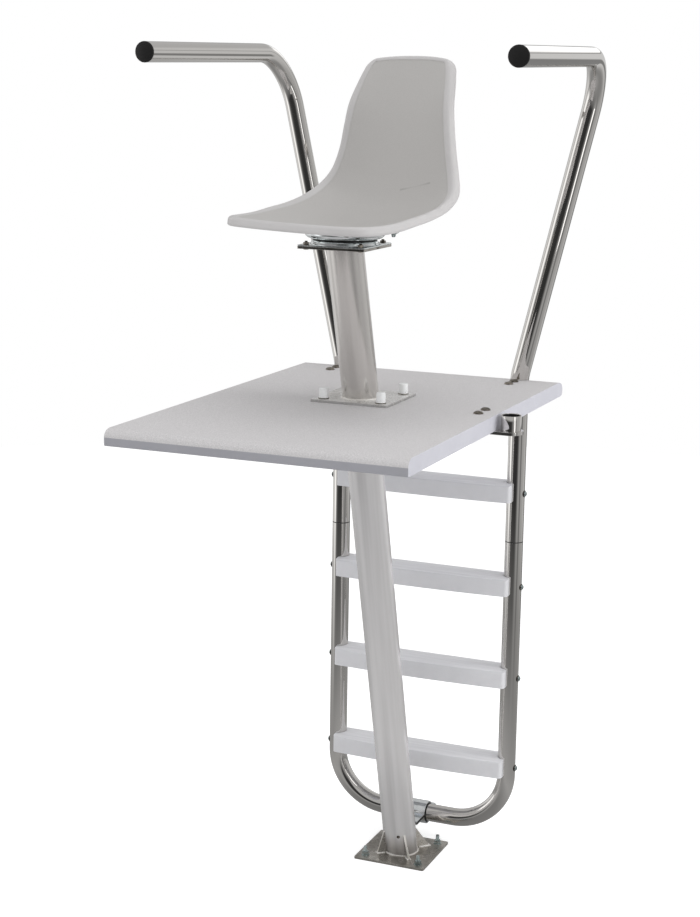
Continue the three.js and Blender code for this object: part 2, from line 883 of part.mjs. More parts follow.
function gripBend(side) {
  return new THREE.Vector3(side * (railX + grip.bendOut), grip.bendY, grip.bendZ);
}

function gripTip(side) {
  return new THREE.Vector3(side * (railX + grip.endOut), grip.endY, grip.endZ);
}

function gripDirection(side) {
  return gripTip(side).sub(gripBend(side)).normalize();
}

function gripEnd(side) {
  return gripTip(side).addScaledVector(gripDirection(side), -gripCap.face);
}

function handrail(side) {
  const x = side * railX;
  const path = new BentPath(
    [
      new THREE.Vector3(x, rail.y, rail.spliceZ),
      new THREE.Vector3(x, rail.y, grip.baseZ),
      gripBend(side),
      gripEnd(side),
    ],
    [bendRadius.foot, bendRadius.grip],
  );
  const z1 = boardBottomZ;
  const z0 = z1 - tab.thickness;
  const y0 = tab.frontBoltY - tab.halfWidth;
  const outline = roundedRectangle(x - tab.halfWidth, x + tab.halfWidth, y0, rail.y, tab.halfWidth / 2);
  const inside = rail.radius - rail.wall / 2;
  const bore = rod(x, rail.y, z0 - tab.thickness, z1 + tab.thickness, inside, sides.tube);
  const plate = toSolid(slab(outline, z0, z1, sides.nose)).subtract(bore);
  const holes = boltHoles(z0 - holeGap, z1 + holeGap);
  return cut(bentTube(path), [treadBoltHoles(tread.count - 1)]).add(cut(plate, holes));
}

function gripCapGeometry(side) {
  const plugRadius = boreRadius * Math.cos(Math.PI / sides.bore) - fitGap;
  const geometry = turned(
    [
      [0, -gripCap.plug],
      [plugRadius, -gripCap.plug],
      [plugRadius, 0],
      [rail.radius, 0],
      [rail.radius, gripCap.face - gripCap.bevel],
      [rail.radius - gripCap.bevel, gripCap.face],
      [0, gripCap.face],
    ],
    sides.tube,
  );
  const turn = new THREE.Quaternion().setFromUnitVectors(new THREE.Vector3(0, 0, 1), gripDirection(side));
  geometry.applyQuaternion(turn);
  const end = gripEnd(side);
  geometry.translate(end.x, end.y, end.z);
  return geometry;
}

function treadProfile(bottom) {
  const y0 = tread.frontY;
  const y1 = y0 + tread.depth;
  const shoulder = bottom + tread.below + tread.above - tread.edge;
  const shape = new THREE.Shape();
  shape.moveTo(y0, bottom);
  shape.lineTo(y1, bottom);
  shape.absarc(y1 - tread.edge, shoulder, tread.edge, 0, Math.PI / 2);
  const middle = (y0 + y1) / 2;
  const brim = shoulder + tread.edge;
  shape.quadraticCurveTo(middle, brim + 2 * tread.crown, y0 + tread.edge, brim);
  shape.absarc(y0 + tread.edge, shoulder, tread.edge, Math.PI / 2, Math.PI);
  return shape;
}

// The front face is bowed forward in plan, most at the tread's middle
function bowed(geometry) {
  const places = geometry.getAttribute("position");
  for (let i = 0; i < places.count; i += 1) {
    const out = places.getX(i) / treadHalfLength;
    const forward = (tread.frontY + tread.depth - places.getY(i)) / tread.depth;
    places.setY(i, places.getY(i) - tread.bow * (1 - out * out) * forward);
  }
  return geometry;
}

// Plan with its corners cut off, left open in front for the bow
function treadPlan() {
  const x = treadHalfLength;
  const y0 = tread.frontY;
  const y1 = y0 + tread.depth;
  const reach = tread.corner + tread.bow;
  const shape = new THREE.Shape();
  shape.moveTo(x, y0 + tread.corner);
  shape.lineTo(x, y1 - tread.corner);
  shape.lineTo(x - tread.corner, y1);
  shape.lineTo(tread.corner - x, y1);
  shape.lineTo(-x, y1 - tread.corner);
  shape.lineTo(-x, y0 + tread.corner);
  shape.lineTo(reach - x, y0 - tread.bow);
  shape.lineTo(x - reach, y0 - tread.bow);
  return shape;
}

function treadSolid(k) {
  const bottom = treadBoltZ(k) - tread.below;
  const top = bottom + tread.below + tread.above + tread.crown;
  const y1 = tread.frontY + tread.depth;
  const profile = treadProfile(bottom);
  const straight = alongX(profile, -treadHalfLength, treadHalfLength, sides.corner, tread.bowSteps);
  const trimmed = toSolid(bowed(straight)).intersect(toSolid(slab(treadPlan(), bottom, top, 1)));
  const pocketX = treadHalfLength - tread.endBlock;
  const pocketPlan = roundedRectangle(
    -pocketX,
    pocketX,
    tread.frontY + tread.skin,
    y1 - tread.skin,
    tread.edge,
  );
  const pocket = toSolid(slab(pocketPlan, bottom - tread.skin, top - tread.crown - tread.skin, 1));
  const rails = sideSigns.map((side) =>
    hole(side * railX, rail.y, bottom - tread.skin, top + tread.skin, rail.radius + holeGap, sides.cup),
  );
  return cut(trimmed, [pocket, ...rails, treadBoltHoles(k)]);
}

// Bolt from outside the rail, through both walls and into the tread's end block
function treadBoltSolid(side, k) {
  const z = treadBoltZ(k);
  const outside = railX + rail.radius + fitGap;
  const inside = outside - 2 * rail.radius - treadBolt.bite;
  const tip = outside + treadBolt.head;
  const span = (a, b) => (side > 0 ? [a, b] : [-b, -a]);
  const parts = [
    crossRod(rail.y, z, ...span(inside, tip), treadBolt.radius, sides.bolt),
    crossRod(rail.y, z, ...span(outside, tip), treadBolt.headRadius, sides.bolt),
  ];
  return join(parts);
}

function carriageBoltSolid(x, y, plateThickness) {
  const nutTop = boardBottomZ - plateThickness;
  const washerFoot = nutTop - carriageBolt.washer;
  const nutFoot = washerFoot - carriageBolt.nut;
  const head = turned(
    [
      [0, board.topZ],
      [carriageBolt.headRadius, board.topZ],
      [carriageBolt.neck, board.topZ + carriageBolt.head],
      [0, board.topZ + carriageBolt.head],
    ],
    sides.bolt,
  );
  head.translate(x, y, 0);
  const radius = carriageBolt.radius;
  const shank = { from: nutFoot - carriageBolt.washer, to: board.topZ + carriageBolt.washer, radius };
  const body = bolt(x, y, shank, [
    { from: washerFoot, to: nutTop, radius: carriageBolt.headRadius, sides: sides.bolt },
    { from: nutFoot, to: washerFoot, radius: carriageBolt.nutRadius, sides: sides.hex },
  ]);
  return body.add(toSolid(head));
}

// Clamp: two hat-shaped halves over a rubber liner, the lower one reaching to the post
function hatProfile(up) {
  const inner = (rail.radius + clamp.liner) / Math.cos(Math.PI / sides.tube);
  const outer = inner + clamp.shell;
  const z = (offset) => ladder.footZ + up * offset;
  const rise = clamp.liner / 2;
  const start = Math.asin(rise / inner);
  const startOuter = Math.asin((rise + clamp.shell) / outer);
  const shape = new THREE.Shape();
  const sweep = (radius, from, to) => {
    const a = up > 0 ? from : -from;
    const b = up > 0 ? to : -to;
    shape.absarc(rail.y, ladder.footZ, radius, a, b, up > 0 ? to < from : to > from);
  };
  const frontY = rail.y - clamp.frontReach;
  const backY = rail.y + clamp.backReach;
  shape.moveTo(backY, z(rise));
  shape.lineTo(backY, z(rise + clamp.shell));
  sweep(outer, startOuter, Math.PI - startOuter);
  shape.lineTo(frontY, z(rise + clamp.shell));
  shape.lineTo(frontY, z(rise));
  sweep(inner, Math.PI - start, start);
  return shape;
}

function clampBoltPlaces() {
  return [
    [clamp.boltX, rail.y - clamp.boltOut],
    [clamp.boltX, rail.y + clamp.boltOut],
  ];
}

function clampHoles() {
  const reach = clamp.backReach;
  return clampBoltPlaces().map(([x, y]) =>
    hole(x, y, ladder.footZ - reach, ladder.footZ + reach, clamp.boltRadius + fitGap, sides.hole),
  );
}

function clampHalf(up) {
  const profile = hatProfile(up);
  const body = toSolid(alongX(profile, -clamp.halfWidth, clamp.halfWidth, sides.tube / 2));
  return cut(body, clampHoles());
}

// The lower half carries the narrow tab that is welded to the back of the post
function clampTab() {
  const z1 = ladder.footZ - clamp.liner / 2;
  const z0 = z1 - clamp.shell;
  const overlap = rail.y - clamp.frontReach + clamp.shell;
  const x = clamp.tabHalfWidth;
  const shape = roundedRectangle(-x, x, clamp.tabY, overlap, clamp.shell / 2);
  return toSolid(slab(shape, z0, z1, 1)).subtract(postAtFoot(fitGap));
}

function clampLiner() {
  const x = clamp.halfWidth + clamp.overhang;
  const outer = rail.radius + clamp.liner - fitGap / 2;
  const sleeve = crossRod(rail.y, ladder.footZ, -x, x, outer, sides.tube);
  const half = clamp.liner / 2;
  const strip = new THREE.Shape();
  strip.moveTo(rail.y - clamp.frontReach, ladder.footZ - half);
  strip.lineTo(rail.y + clamp.backReach, ladder.footZ - half);
  strip.lineTo(rail.y + clamp.backReach, ladder.footZ + half);
  strip.lineTo(rail.y - clamp.frontReach, ladder.footZ + half);
  const sheet = toSolid(alongX(strip, -x, x, 1));
  const bore = crossHole(rail.y, ladder.footZ, -2 * x, 2 * x, rail.radius + fitGap, sides.tube);
  return cut(sleeve.add(sheet), [bore, ...clampHoles()]);
}

function clampBoltSolid(x, y) {
  const face = clamp.liner / 2 + clamp.shell;
  const top = ladder.footZ + face;
  const bottom = ladder.footZ - face;
  const radius = clamp.hexRadius;
  return bolt(
    x,
    y,
    { from: bottom - clamp.hex - clamp.stud, to: top + clamp.hex, radius: clamp.boltRadius },
    [
      { from: top, to: top + clamp.hex, radius, sides: sides.hex },
      { from: bottom - clamp.hex, to: bottom, radius, sides: sides.hex },
    ],
  );
}

// Umbrella sleeve welded on a flat bracket that is bolted under the board
function umbrellaBracket() {
  const z1 = boardBottomZ;
  const z0 = z1 - umbrella.plate;
  const r = umbrella.plateHalf;
  const outline = new THREE.Shape();
  const innerX = board.halfWidth - umbrella.plateInset;
  outline.moveTo(innerX, umbrella.y - r);
  outline.absarc(sleeveX, umbrella.y, r, -Math.PI / 2, Math.PI / 2);
  outline.lineTo(innerX, umbrella.y + r);
  const plate = toSolid(slab(outline, z0, z1, sides.tube / 2));
  const cup = turned(
    [
      [umbrella.radius - umbrella.wall, -umbrella.plate / 2],
      [umbrella.radius, -umbrella.plate / 2],
      [umbrella.radius, umbrella.rise],
      [umbrella.radius - umbrella.wall, umbrella.rise],
      [umbrella.radius - umbrella.wall, -umbrella.plate / 2],
    ],
    sides.tube,
  );
  cup.translate(sleeveX, umbrella.y, z1);
  return cut(plate.add(toSolid(cup)), boltHoles(z0 - holeGap, z1 + holeGap));
}

// Assembly
add("base_plate", toGeometry(basePlate()), satin);
cornerPlaces(base.anchorHalf).forEach(([x, y], i) => {
  add(`deck_anchor_${i + 1}`, toGeometry(deckAnchor(x, y)), zinc);
});
add("lower_post", toGeometry(leaningPost(lowerPost.lean, base.postY, plateTopZ, supportBottomZ)), satin);
add("platform_support_plate", toGeometry(flangePlate(supportBottomZ)), satin);
add("platform", toGeometry(platform()), boardPlastic);
add("seat_post_flange", toGeometry(flangePlate(board.topZ)), satin);
const upperPost = leaningPost(seatPost.lean, seatPostFootY, flangeTopZ, swivelPlateBottomZ);
add("seat_post", toGeometry(upperPost), satin);
cornerPlaces(flange.boltHalf).forEach(([x, y], i) => {
  add(`flange_bolt_${i + 1}`, toGeometry(flangeBoltSolid(x, flange.y + y)), zinc);
  add(`nut_cap_${i + 1}`, nutCap(x, flange.y + y), whitePlastic);
});
add("swivel_mount_plate", toGeometry(swivelMountPlate()), satin);
add("swivel_lower_race", toGeometry(swivelLower()), zinc);
add("swivel_bearing_ring", bearingRing(), blackRubber);
add("swivel_upper_plate", turnSeat(toGeometry(swivelUpper())), zinc);
cornerPlaces(swivelPlate.boltHalf).forEach(([x, y], i) => {
  add(`swivel_bolt_${i + 1}`, toGeometry(swivelBoltSolid(x, y)), zinc);
});
add("seat_shell", turnSeat(toGeometry(seatShell())), seatPlastic);
cornerPlaces(seatBolt.half).forEach(([x, y], i) => {
  add(`seat_bolt_${i + 1}`, turnSeat(toGeometry(seatBoltSolid(x, y))), zinc);
});
add("ladder_frame", toGeometry(ladderFrame()), polished);
for (const side of sideSigns) {
  const name = sideNames[side];
  add(`handrail_${name}`, toGeometry(handrail(side)), polished);
  add(`grip_cap_${name}`, gripCapGeometry(side), blackRubber);
  for (const [i, y] of [tab.frontBoltY, tab.frontBoltY + tab.boltPitch].entries()) {
    const solid = carriageBoltSolid(side * railX, y, tab.thickness);
    add(`handrail_bolt_${name}_${i + 1}`, toGeometry(solid), zinc);
  }
  for (let k = 0; k < tread.count; k += 1) {
    add(`tread_bolt_${name}_${k + 1}`, toGeometry(treadBoltSolid(side, k)), zinc);
  }
}
for (let k = 0; k < tread.count; k += 1) {
  add(`tread_${k + 1}`, toGeometry(treadSolid(k)), treadPlastic);
}
add("ladder_clamp_upper", toGeometry(clampHalf(1)), zinc);
add("ladder_clamp_lower", toGeometry(clampHalf(-1).add(clampTab())), zinc);
add("ladder_clamp_liner", toGeometry(clampLiner()), blackRubber);
clampBoltPlaces().forEach(([x, y], i) => {
  add(`ladder_clamp_bolt_${i + 1}`, toGeometry(clampBoltSolid(x, y)), zinc);
});
add("umbrella_bracket", toGeometry(umbrellaBracket()), polished);
sideSigns.forEach((sign, i) => {
  const solid = carriageBoltSolid(sleeveBoltX, umbrella.y - sign * umbrella.boltHalf, umbrella.plate);
  add(`umbrella_bolt_${i + 1}`, toGeometry(solid), zinc);
});

export default group;
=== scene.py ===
import math

import bmesh
import bpy
import numpy as np
from mathutils import Matrix, Vector


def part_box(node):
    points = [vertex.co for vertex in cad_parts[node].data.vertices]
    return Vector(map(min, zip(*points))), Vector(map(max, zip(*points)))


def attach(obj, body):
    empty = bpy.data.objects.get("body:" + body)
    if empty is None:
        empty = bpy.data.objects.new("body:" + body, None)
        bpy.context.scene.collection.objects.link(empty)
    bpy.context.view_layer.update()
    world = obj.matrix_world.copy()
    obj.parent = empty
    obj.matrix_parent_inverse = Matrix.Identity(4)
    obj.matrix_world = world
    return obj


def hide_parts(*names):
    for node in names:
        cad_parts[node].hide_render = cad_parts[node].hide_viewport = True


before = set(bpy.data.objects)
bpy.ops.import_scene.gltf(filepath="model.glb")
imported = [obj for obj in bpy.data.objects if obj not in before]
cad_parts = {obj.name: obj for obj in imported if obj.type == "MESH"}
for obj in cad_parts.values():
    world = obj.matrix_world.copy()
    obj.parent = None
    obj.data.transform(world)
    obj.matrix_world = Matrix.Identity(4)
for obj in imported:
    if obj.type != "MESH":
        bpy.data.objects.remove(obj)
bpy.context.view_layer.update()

# Sizes are in millimetres, in the frame of the CAD, and become metres when a mesh is made
MM = 0.001
FRAME, SEAT = "frame", "seat"
SIDES = {"left": 1, "right": -1}
SIGNS = (-1, 1)


def low(node):
    return np.array(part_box(node)[0]) / MM


def high(node):
    return np.array(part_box(node)[1]) / MM


def middle(node):
    return (low(node) + high(node)) / 2


# Round stock, and how finely round shapes are divided
RAIL_RADIUS = 24.13
RAIL_X, RAIL_Y = 249.0, 133.0
POST_RADIUS = 44.45
LOWER_LEAN, SEAT_LEAN = 0.272, 0.3063
TUBE_SIDES, POST_SIDES, DISH_SIDES, SLEEVE_SIDES, HEAD_SIDES, THREAD_SIDES = 48, 96, 96, 64, 40, 20
POST_RINGS = 9
CORNER_STEPS = 6
BEND_DEGREES = 3.0

# Levels
PLATE_TOP = 6.4
BOARD_TOP, BOARD_BOTTOM = high("platform")[2], low("platform")[2]
FLANGE_TOP = high("seat_post_flange")[2]
SUPPORT_BOTTOM = low("platform_support_plate")[2]
MOUNT_BOTTOM, MOUNT_TOP = low("swivel_mount_plate")[2], high("swivel_mount_plate")[2]
SWIVEL = middle("swivel_bearing_ring")
SPLICE_Z = high("ladder_frame")[2] - 60.0


# Mesh building
def new_object(name, data):
    obj = bpy.data.objects.new(name, data)
    bpy.context.scene.collection.objects.link(obj)
    return obj


def new_mesh(name, points, faces, edges=()):
    """A mesh from points in millimetres."""
    mesh = bpy.data.meshes.new(name)
    mesh.from_pydata((np.array(points, float) * MM).tolist(), list(edges), faces)
    return mesh


def turn_outwards(mesh, merge=False):
    """Turns a mesh's faces outwards, its doubles merged first where that is asked for."""
    bm = bmesh.new()
    bm.from_mesh(mesh)
    if merge:
        bmesh.ops.remove_doubles(bm, verts=bm.verts, dist=1e-6)
        bmesh.ops.dissolve_degenerate(bm, edges=bm.edges, dist=1e-7)
    bmesh.ops.recalc_face_normals(bm, faces=bm.faces)
    bm.to_mesh(mesh)
    bm.free()
    return mesh


def solid(name, points, faces):
    return new_object(name, turn_outwards(new_mesh(name, points, faces), merge=True))


def write_layer(mesh, name, values, kind="FLOAT_VECTOR", domain="POINT"):
    """Writes values that the materials and node trees read, one a point or one a face corner."""
    layer = mesh.attributes.new(name, kind, domain)
    layer.data.foreach_set("vector" if kind == "FLOAT_VECTOR" else "value", np.array(values, float).ravel())


def bake_modifiers(obj):
    """Turns what the modifiers make into the object's own plain mesh."""
    graph = bpy.context.evaluated_depsgraph_get()
    mesh = bpy.data.meshes.new_from_object(obj.evaluated_get(graph))
    obj.modifiers.clear()
    obj.data = mesh
    return obj


def modified(obj, kind, **settings):
    step = obj.modifiers.new("step", kind)
    for key, value in settings.items():
        setattr(step, key, value)
    return bake_modifiers(obj)


def discard(obj):
    bpy.data.objects.remove(obj)


def boolean(obj, tool, operation):
    modified(obj, "BOOLEAN", object=tool, operation=operation, solver="EXACT")
    discard(tool)


def joined(name, objects):
    """One object from several, their meshes side by side."""
    bm = bmesh.new()
    for obj in objects:
        bm.from_mesh(obj.data)
    mesh = bpy.data.meshes.new(name)
    bm.to_mesh(mesh)
    bm.free()
    for obj in objects:
        discard(obj)
    return new_object(name, mesh)


def smooth(obj, degrees=32):
    obj.data.shade_smooth()
    obj.data.set_sharp_from_angle(angle=math.radians(degrees))
    return obj


def round_edges(obj, width, segments=3, degrees=35):
    smooth(obj, degrees)
    return modified(
        obj, "BEVEL", width=width * MM, segments=segments, limit_method="ANGLE",
        angle_limit=math.radians(degrees), harden_normals=True, use_clamp_overlap=True,
    )


def circle(count):
    return np.arange(count) * 2 * math.pi / count


def ring_faces(rings, around, closed=False):
    """Quads between rings of equal count, ring after ring."""
    faces = []
    for i in range(rings if closed else rings - 1):
        a, b = i * around, ((i + 1) % rings) * around
        for j in range(around):
            k = (j + 1) % around
            faces.append((a + j, a + k, b + k, b + j))
    return faces


def capped_faces(rings, around):
    """Quads between rings, and one face over each end."""
    last = (rings - 1) * around
    return ring_faces(rings, around) + [tuple(range(around))[::-1], tuple(range(last, last + around))]


def turned(name, profile, count=SLEEVE_SIDES, at=(0.0, 0.0)):
    """A body turned about an upright axis: its profile runs from axis to axis, or closes on itself."""
    x, y = at
    points = [(x + r * math.cos(a), y + r * math.sin(a), z) for r, z in profile for a in circle(count)]
    return solid(name, points, ring_faces(len(profile), count, closed=profile[0][0] > 0))


def prism(name, outline, z0, z1):
    """An upright prism on a plan outline."""
    points = [(x, y, z) for z in (z0, z1) for x, y in outline]
    return solid(name, points, capped_faces(2, len(outline)))


def arc(x, y, radius, start, end, steps):
    angles = np.radians(np.linspace(start, end, steps + 1))
    return [(x + radius * math.cos(a), y + radius * math.sin(a)) for a in angles]


def rounded_rectangle(x0, x1, y0, y1, r):
    corners = ((x1 - r, y0 + r, -90), (x1 - r, y1 - r, 0), (x0 + r, y1 - r, 90), (x0 + r, y0 + r, 180))
    return [point for x, y, start in corners for point in arc(x, y, r, start, start + 90, CORNER_STEPS)]


def rounded_box(name, lowest, highest, corner, edge):
    outline = rounded_rectangle(lowest[0], highest[0], lowest[1], highest[1], corner)
    return round_edges(prism(name, outline, lowest[2], highest[2]), edge)


def aimed(obj, spot, direction):
    """Carries a body from the origin to a place, its own Z turned along a direction."""
    turn = Vector(direction).to_track_quat("Z", "Y").to_matrix().to_4x4()
    obj.data.transform(Matrix.Translation(Vector(np.array(spot) * MM)) @ turn)
    return obj


def unit(v):
    return v / np.linalg.norm(v)


# Bent tubes and leaning posts
def bent_path(corners, radii):
    """Stations along straight runs joined by arcs: their points and their directions."""
    corners = [np.array(c, float) for c in corners]
    points, directions = [corners[0]], [unit(corners[1] - corners[0])]
    for before, corner, after, radius in zip(corners, corners[1:], corners[2:], radii):
        into, out = unit(corner - before), unit(after - corner)
        angle = math.acos(np.clip(into @ out, -1, 1))
        start = corner - into * radius * math.tan(angle / 2)
        inward = unit(out - into * (into @ out))
        centre = start + inward * radius
        steps = max(4, math.ceil(math.degrees(angle) / BEND_DEGREES))
        for a in np.linspace(0, angle, steps + 1):
            points.append(centre - inward * radius * math.cos(a) + into * radius * math.sin(a))
            directions.append(into * math.cos(a) + inward * math.sin(a))
    return [*points, corners[-1]], [*directions, directions[-1]]


def tube_object(name, vertices, along, count):
    """A capped tube whose points carry their place round it and along it."""
    mesh = new_mesh(name, vertices, capped_faces(len(vertices) // count, count))
    write_layer(mesh, "along_tube", np.array(along) * MM)
    return smooth(new_object(name, turn_outwards(mesh)), 40)


def swept_tube(name, path, chamfers):
    """A rail's tube along a path, each end turned in by its chamfer."""
    (points, directions), (start, end) = path, chamfers
    radii = [RAIL_RADIUS - start, *[RAIL_RADIUS] * len(points), RAIL_RADIUS - end]
    points.insert(1, points[0] + directions[0] * start)
    points.insert(-1, points[-1] - directions[-1] * end)
    directions = [directions[0], *directions, directions[-1]]
    side = np.cross(directions[0], (0.0, 1.0, 0.0))
    vertices, along, travelled = [], [], 0.0
    for i, (point, direction, radius) in enumerate(zip(points, directions, radii)):
        side = unit(side - direction * (side @ direction))
        up = np.cross(direction, side)
        travelled += np.linalg.norm(point - points[i - 1]) if i else 0.0
        for a in circle(TUBE_SIDES):
            vertices.append(point + radius * (side * math.cos(a) + up * math.sin(a)))
            along.append((RAIL_RADIUS * math.cos(a), RAIL_RADIUS * math.sin(a), travelled))
    return tube_object(name, vertices, along, TUBE_SIDES)


def post_depth(lean):
    """Half the depth of a leaning post, cut level."""
    return POST_RADIUS * math.hypot(1, lean)


def leaning_post(name, lean, foot_y, z0, z1):
    """A round post that leans forward, cut level at both ends."""
    vertices, along = [], []
    for z in np.linspace(z0, z1, POST_RINGS):
        for a in circle(POST_SIDES):
            x = POST_RADIUS * math.cos(a)
            vertices.append((x, foot_y + post_depth(lean) * math.sin(a) - lean * (z - z0), z))
            along.append((x, POST_RADIUS * math.sin(a), z))
    return tube_object(name, vertices, along, POST_SIDES)


# Node tools
def fill(tree, made, links):
    """Fills a node's inputs: a plain value is set, a socket is linked."""
    for key, value in links.items():
        if isinstance(value, bpy.types.NodeSocket):
            tree.links.new(value, made.inputs[key])
        else:
            made.inputs[key].default_value = value
    return made


def node(tree, kind, links=None, **settings):
    made = tree.nodes.new(kind)
    for key, value in settings.items():
        setattr(made, key, value)
    return fill(tree, made, links or {})


def first_of(tree, kind, links=None, **settings):
    """The first output of a new node."""
    return node(tree, kind, links, **settings).outputs[0]


def new_group(name, kind, inputs, outputs):
    """A node group, its inputs listed as label, socket and value, and its outputs as label and socket."""
    tree = bpy.data.node_groups.new(name, kind)
    for label, socket, default in inputs:
        made = tree.interface.new_socket(label, in_out="INPUT", socket_type="NodeSocket" + socket)
        if default is not None:
            made.default_value = default
    for label, socket in outputs:
        tree.interface.new_socket(label, in_out="OUTPUT", socket_type="NodeSocket" + socket)
    return tree, tree.nodes.new("NodeGroupInput").outputs, tree.nodes.new("NodeGroupOutput")


def use_group(tree, group, links):
    return node(tree, "ShaderNodeGroup", links, node_tree=group).outputs


def maths(tree, operation, a, b=0.0):
    return first_of(tree, "ShaderNodeMath", {0: a, 1: b}, operation=operation)


def product(tree, a, b):
    return maths(tree, "MULTIPLY", a, b)


def blend(tree, a, b, share):
    """The sum of two values, the first taken at its share and the second at the rest."""
    return maths(tree, "ADD", product(tree, a, share), product(tree, b, 1 - share))


def ramp(tree, factor, stops):
    """A ramp of greys, its stops given as place and value."""
    made = node(tree, "ShaderNodeValToRGB", {"Fac": factor})
    elements = made.color_ramp.elements
    while len(elements) < len(stops):
        elements.new(0.5)
    for element, (spot, value) in zip(elements, stops):
        element.position = spot
        element.color = (value, value, value, 1)
    return made.outputs["Color"]


def window(tree, factor, *corners):
    """A mask that rises from 0 to 1, stays, and falls again between four places."""
    levels = (0.0, 1.0, 1.0, 0.0)
    return ramp(tree, factor, [(0.0, 0.0), *zip(corners, levels), (1.0, 0.0)])


def mix_colour(tree, factor, a, b, mode="MIX"):
    made = node(tree, "ShaderNodeMix", {0: factor, 6: a, 7: b}, data_type="RGBA", blend_type=mode)
    return made.outputs[2]


def noise(tree, vector, scale, detail=3.0, roughness=0.55):
    links = {"Vector": vector, "Scale": scale, "Detail": detail, "Roughness": roughness}
    return node(tree, "ShaderNodeTexNoise", links).outputs["Fac"]


def stretched(tree, vector, scale):
    return first_of(tree, "ShaderNodeMapping", {"Vector": vector, "Scale": scale})


def span(tree, mask, a, b, lowest=0.0, highest=1.0):
    links = {"Value": mask, "From Min": lowest, "From Max": highest, "To Min": a, "To Max": b}
    return node(tree, "ShaderNodeMapRange", links, clamp=True).outputs["Result"]


def bump(tree, strength, distance, height):
    links = {"Strength": strength, "Distance": distance, "Height": height}
    return node(tree, "ShaderNodeBump", links).outputs["Normal"]


def attribute(tree, name, output="Fac"):
    return node(tree, "ShaderNodeAttribute", attribute_name=name).outputs[output]


def srgb(colour):
    """A colour written as the eye reads it off a picture, 0 to 255, as the linear colour nodes take."""
    values = [v / 255 for v in colour]
    return tuple(v / 12.92 if v <= 0.04045 else ((v + 0.055) / 1.055) ** 2.4 for v in values) + (1.0,)


# Shared surface effects
def smudge_group():
    """Uneven colour and gloss, as hands and weather leave it: a mask from 0 to 1."""
    inputs = [
        ("Vector", "Vector", None), ("Scale", "Float", 6.0), ("Low", "Float", 0.35), ("High", "Float", 0.7),
    ]
    tree, given, result = new_group("smudges", "ShaderNodeTree", inputs, [("Mask", "Float")])
    broad = noise(tree, given["Vector"], given["Scale"], 4.0, 0.6)
    fine = noise(tree, given["Vector"], product(tree, given["Scale"], 7.0))
    both = blend(tree, broad, fine, 0.7)
    fill(tree, result, {"Mask": span(tree, both, 0.0, 1.0, given["Low"], given["High"])})
    return tree


def brushed_group():
    """Fine lines drawn along a tube: a mask, broader streaks, and the normal of the lines."""
    inputs = [("Vector", "Vector", None), ("Fineness", "Float", 900.0), ("Depth", "Float", 0.1)]
    outputs = [("Mask", "Float"), ("Streaks", "Float"), ("Normal", "Vector")]
    tree, given, result = new_group("brushed lines", "ShaderNodeTree", inputs, outputs)

    def drawn(squeeze, scale):
        return noise(tree, stretched(tree, given["Vector"], (1, 1, squeeze)), scale, 2.0)

    both = blend(tree, drawn(0.012, given["Fineness"]), drawn(0.05, 60.0), 0.6)
    streaks = span(tree, drawn(0.03, 42.0), 0.0, 1.0, 0.38, 0.64)
    normal = bump(tree, given["Depth"], 0.4 * MM, both)
    fill(tree, result, {"Mask": both, "Streaks": streaks, "Normal": normal})
    return tree


def grain_group():
    """Moulded or gritty texture: a height mask, and its normal."""
    inputs = [
        ("Vector", "Vector", None), ("Fineness", "Float", 400.0), ("Depth", "Float", 0.2),
        ("Cover", "Float", 1.0),
    ]
    outputs = [("Mask", "Float"), ("Normal", "Vector")]
    tree, given, result = new_group("moulded grain", "ShaderNodeTree", inputs, outputs)
    links = {"Vector": given["Vector"], "Scale": given["Fineness"]}
    cells = node(tree, "ShaderNodeTexVoronoi", links, feature="SMOOTH_F1").outputs["Distance"]
    rough = noise(tree, given["Vector"], product(tree, given["Fineness"], 0.6), 4.0, 0.65)
    both = blend(tree, cells, rough, 0.5)
    height = product(tree, both, given["Cover"])
    fill(tree, result, {"Mask": both, "Normal": bump(tree, given["Depth"], MM, height)})
    return tree


SMUDGES, BRUSHED, GRAIN = smudge_group(), brushed_group(), grain_group()

# Colours that lie over a material's own, the one at a post's foot being painted shade, and the ways in which
# a plate's grain can run
STREAK, FOOT_SHADE, SCUFF = (110, 107, 104), (118, 112, 104), (140, 138, 136)
DRAWN, EVEN = (1, 0.03, 1), (1, 1, 1)
PLATE_FINENESS = 900.0


def new_material(name, metallic, specular=0.5):
    material = bpy.data.materials.new(name)
    material.use_nodes = True
    tree = material.node_tree
    links = {"Metallic": metallic, "Specular IOR Level": specular}
    shader = fill(tree, tree.nodes["Principled BSDF"], links)
    return material, tree, shader, node(tree, "ShaderNodeTexCoord").outputs["Object"]


def patches_on(tree, spot, scale, **links):
    return use_group(tree, SMUDGES, {"Vector": spot, "Scale": scale, **links})["Mask"]


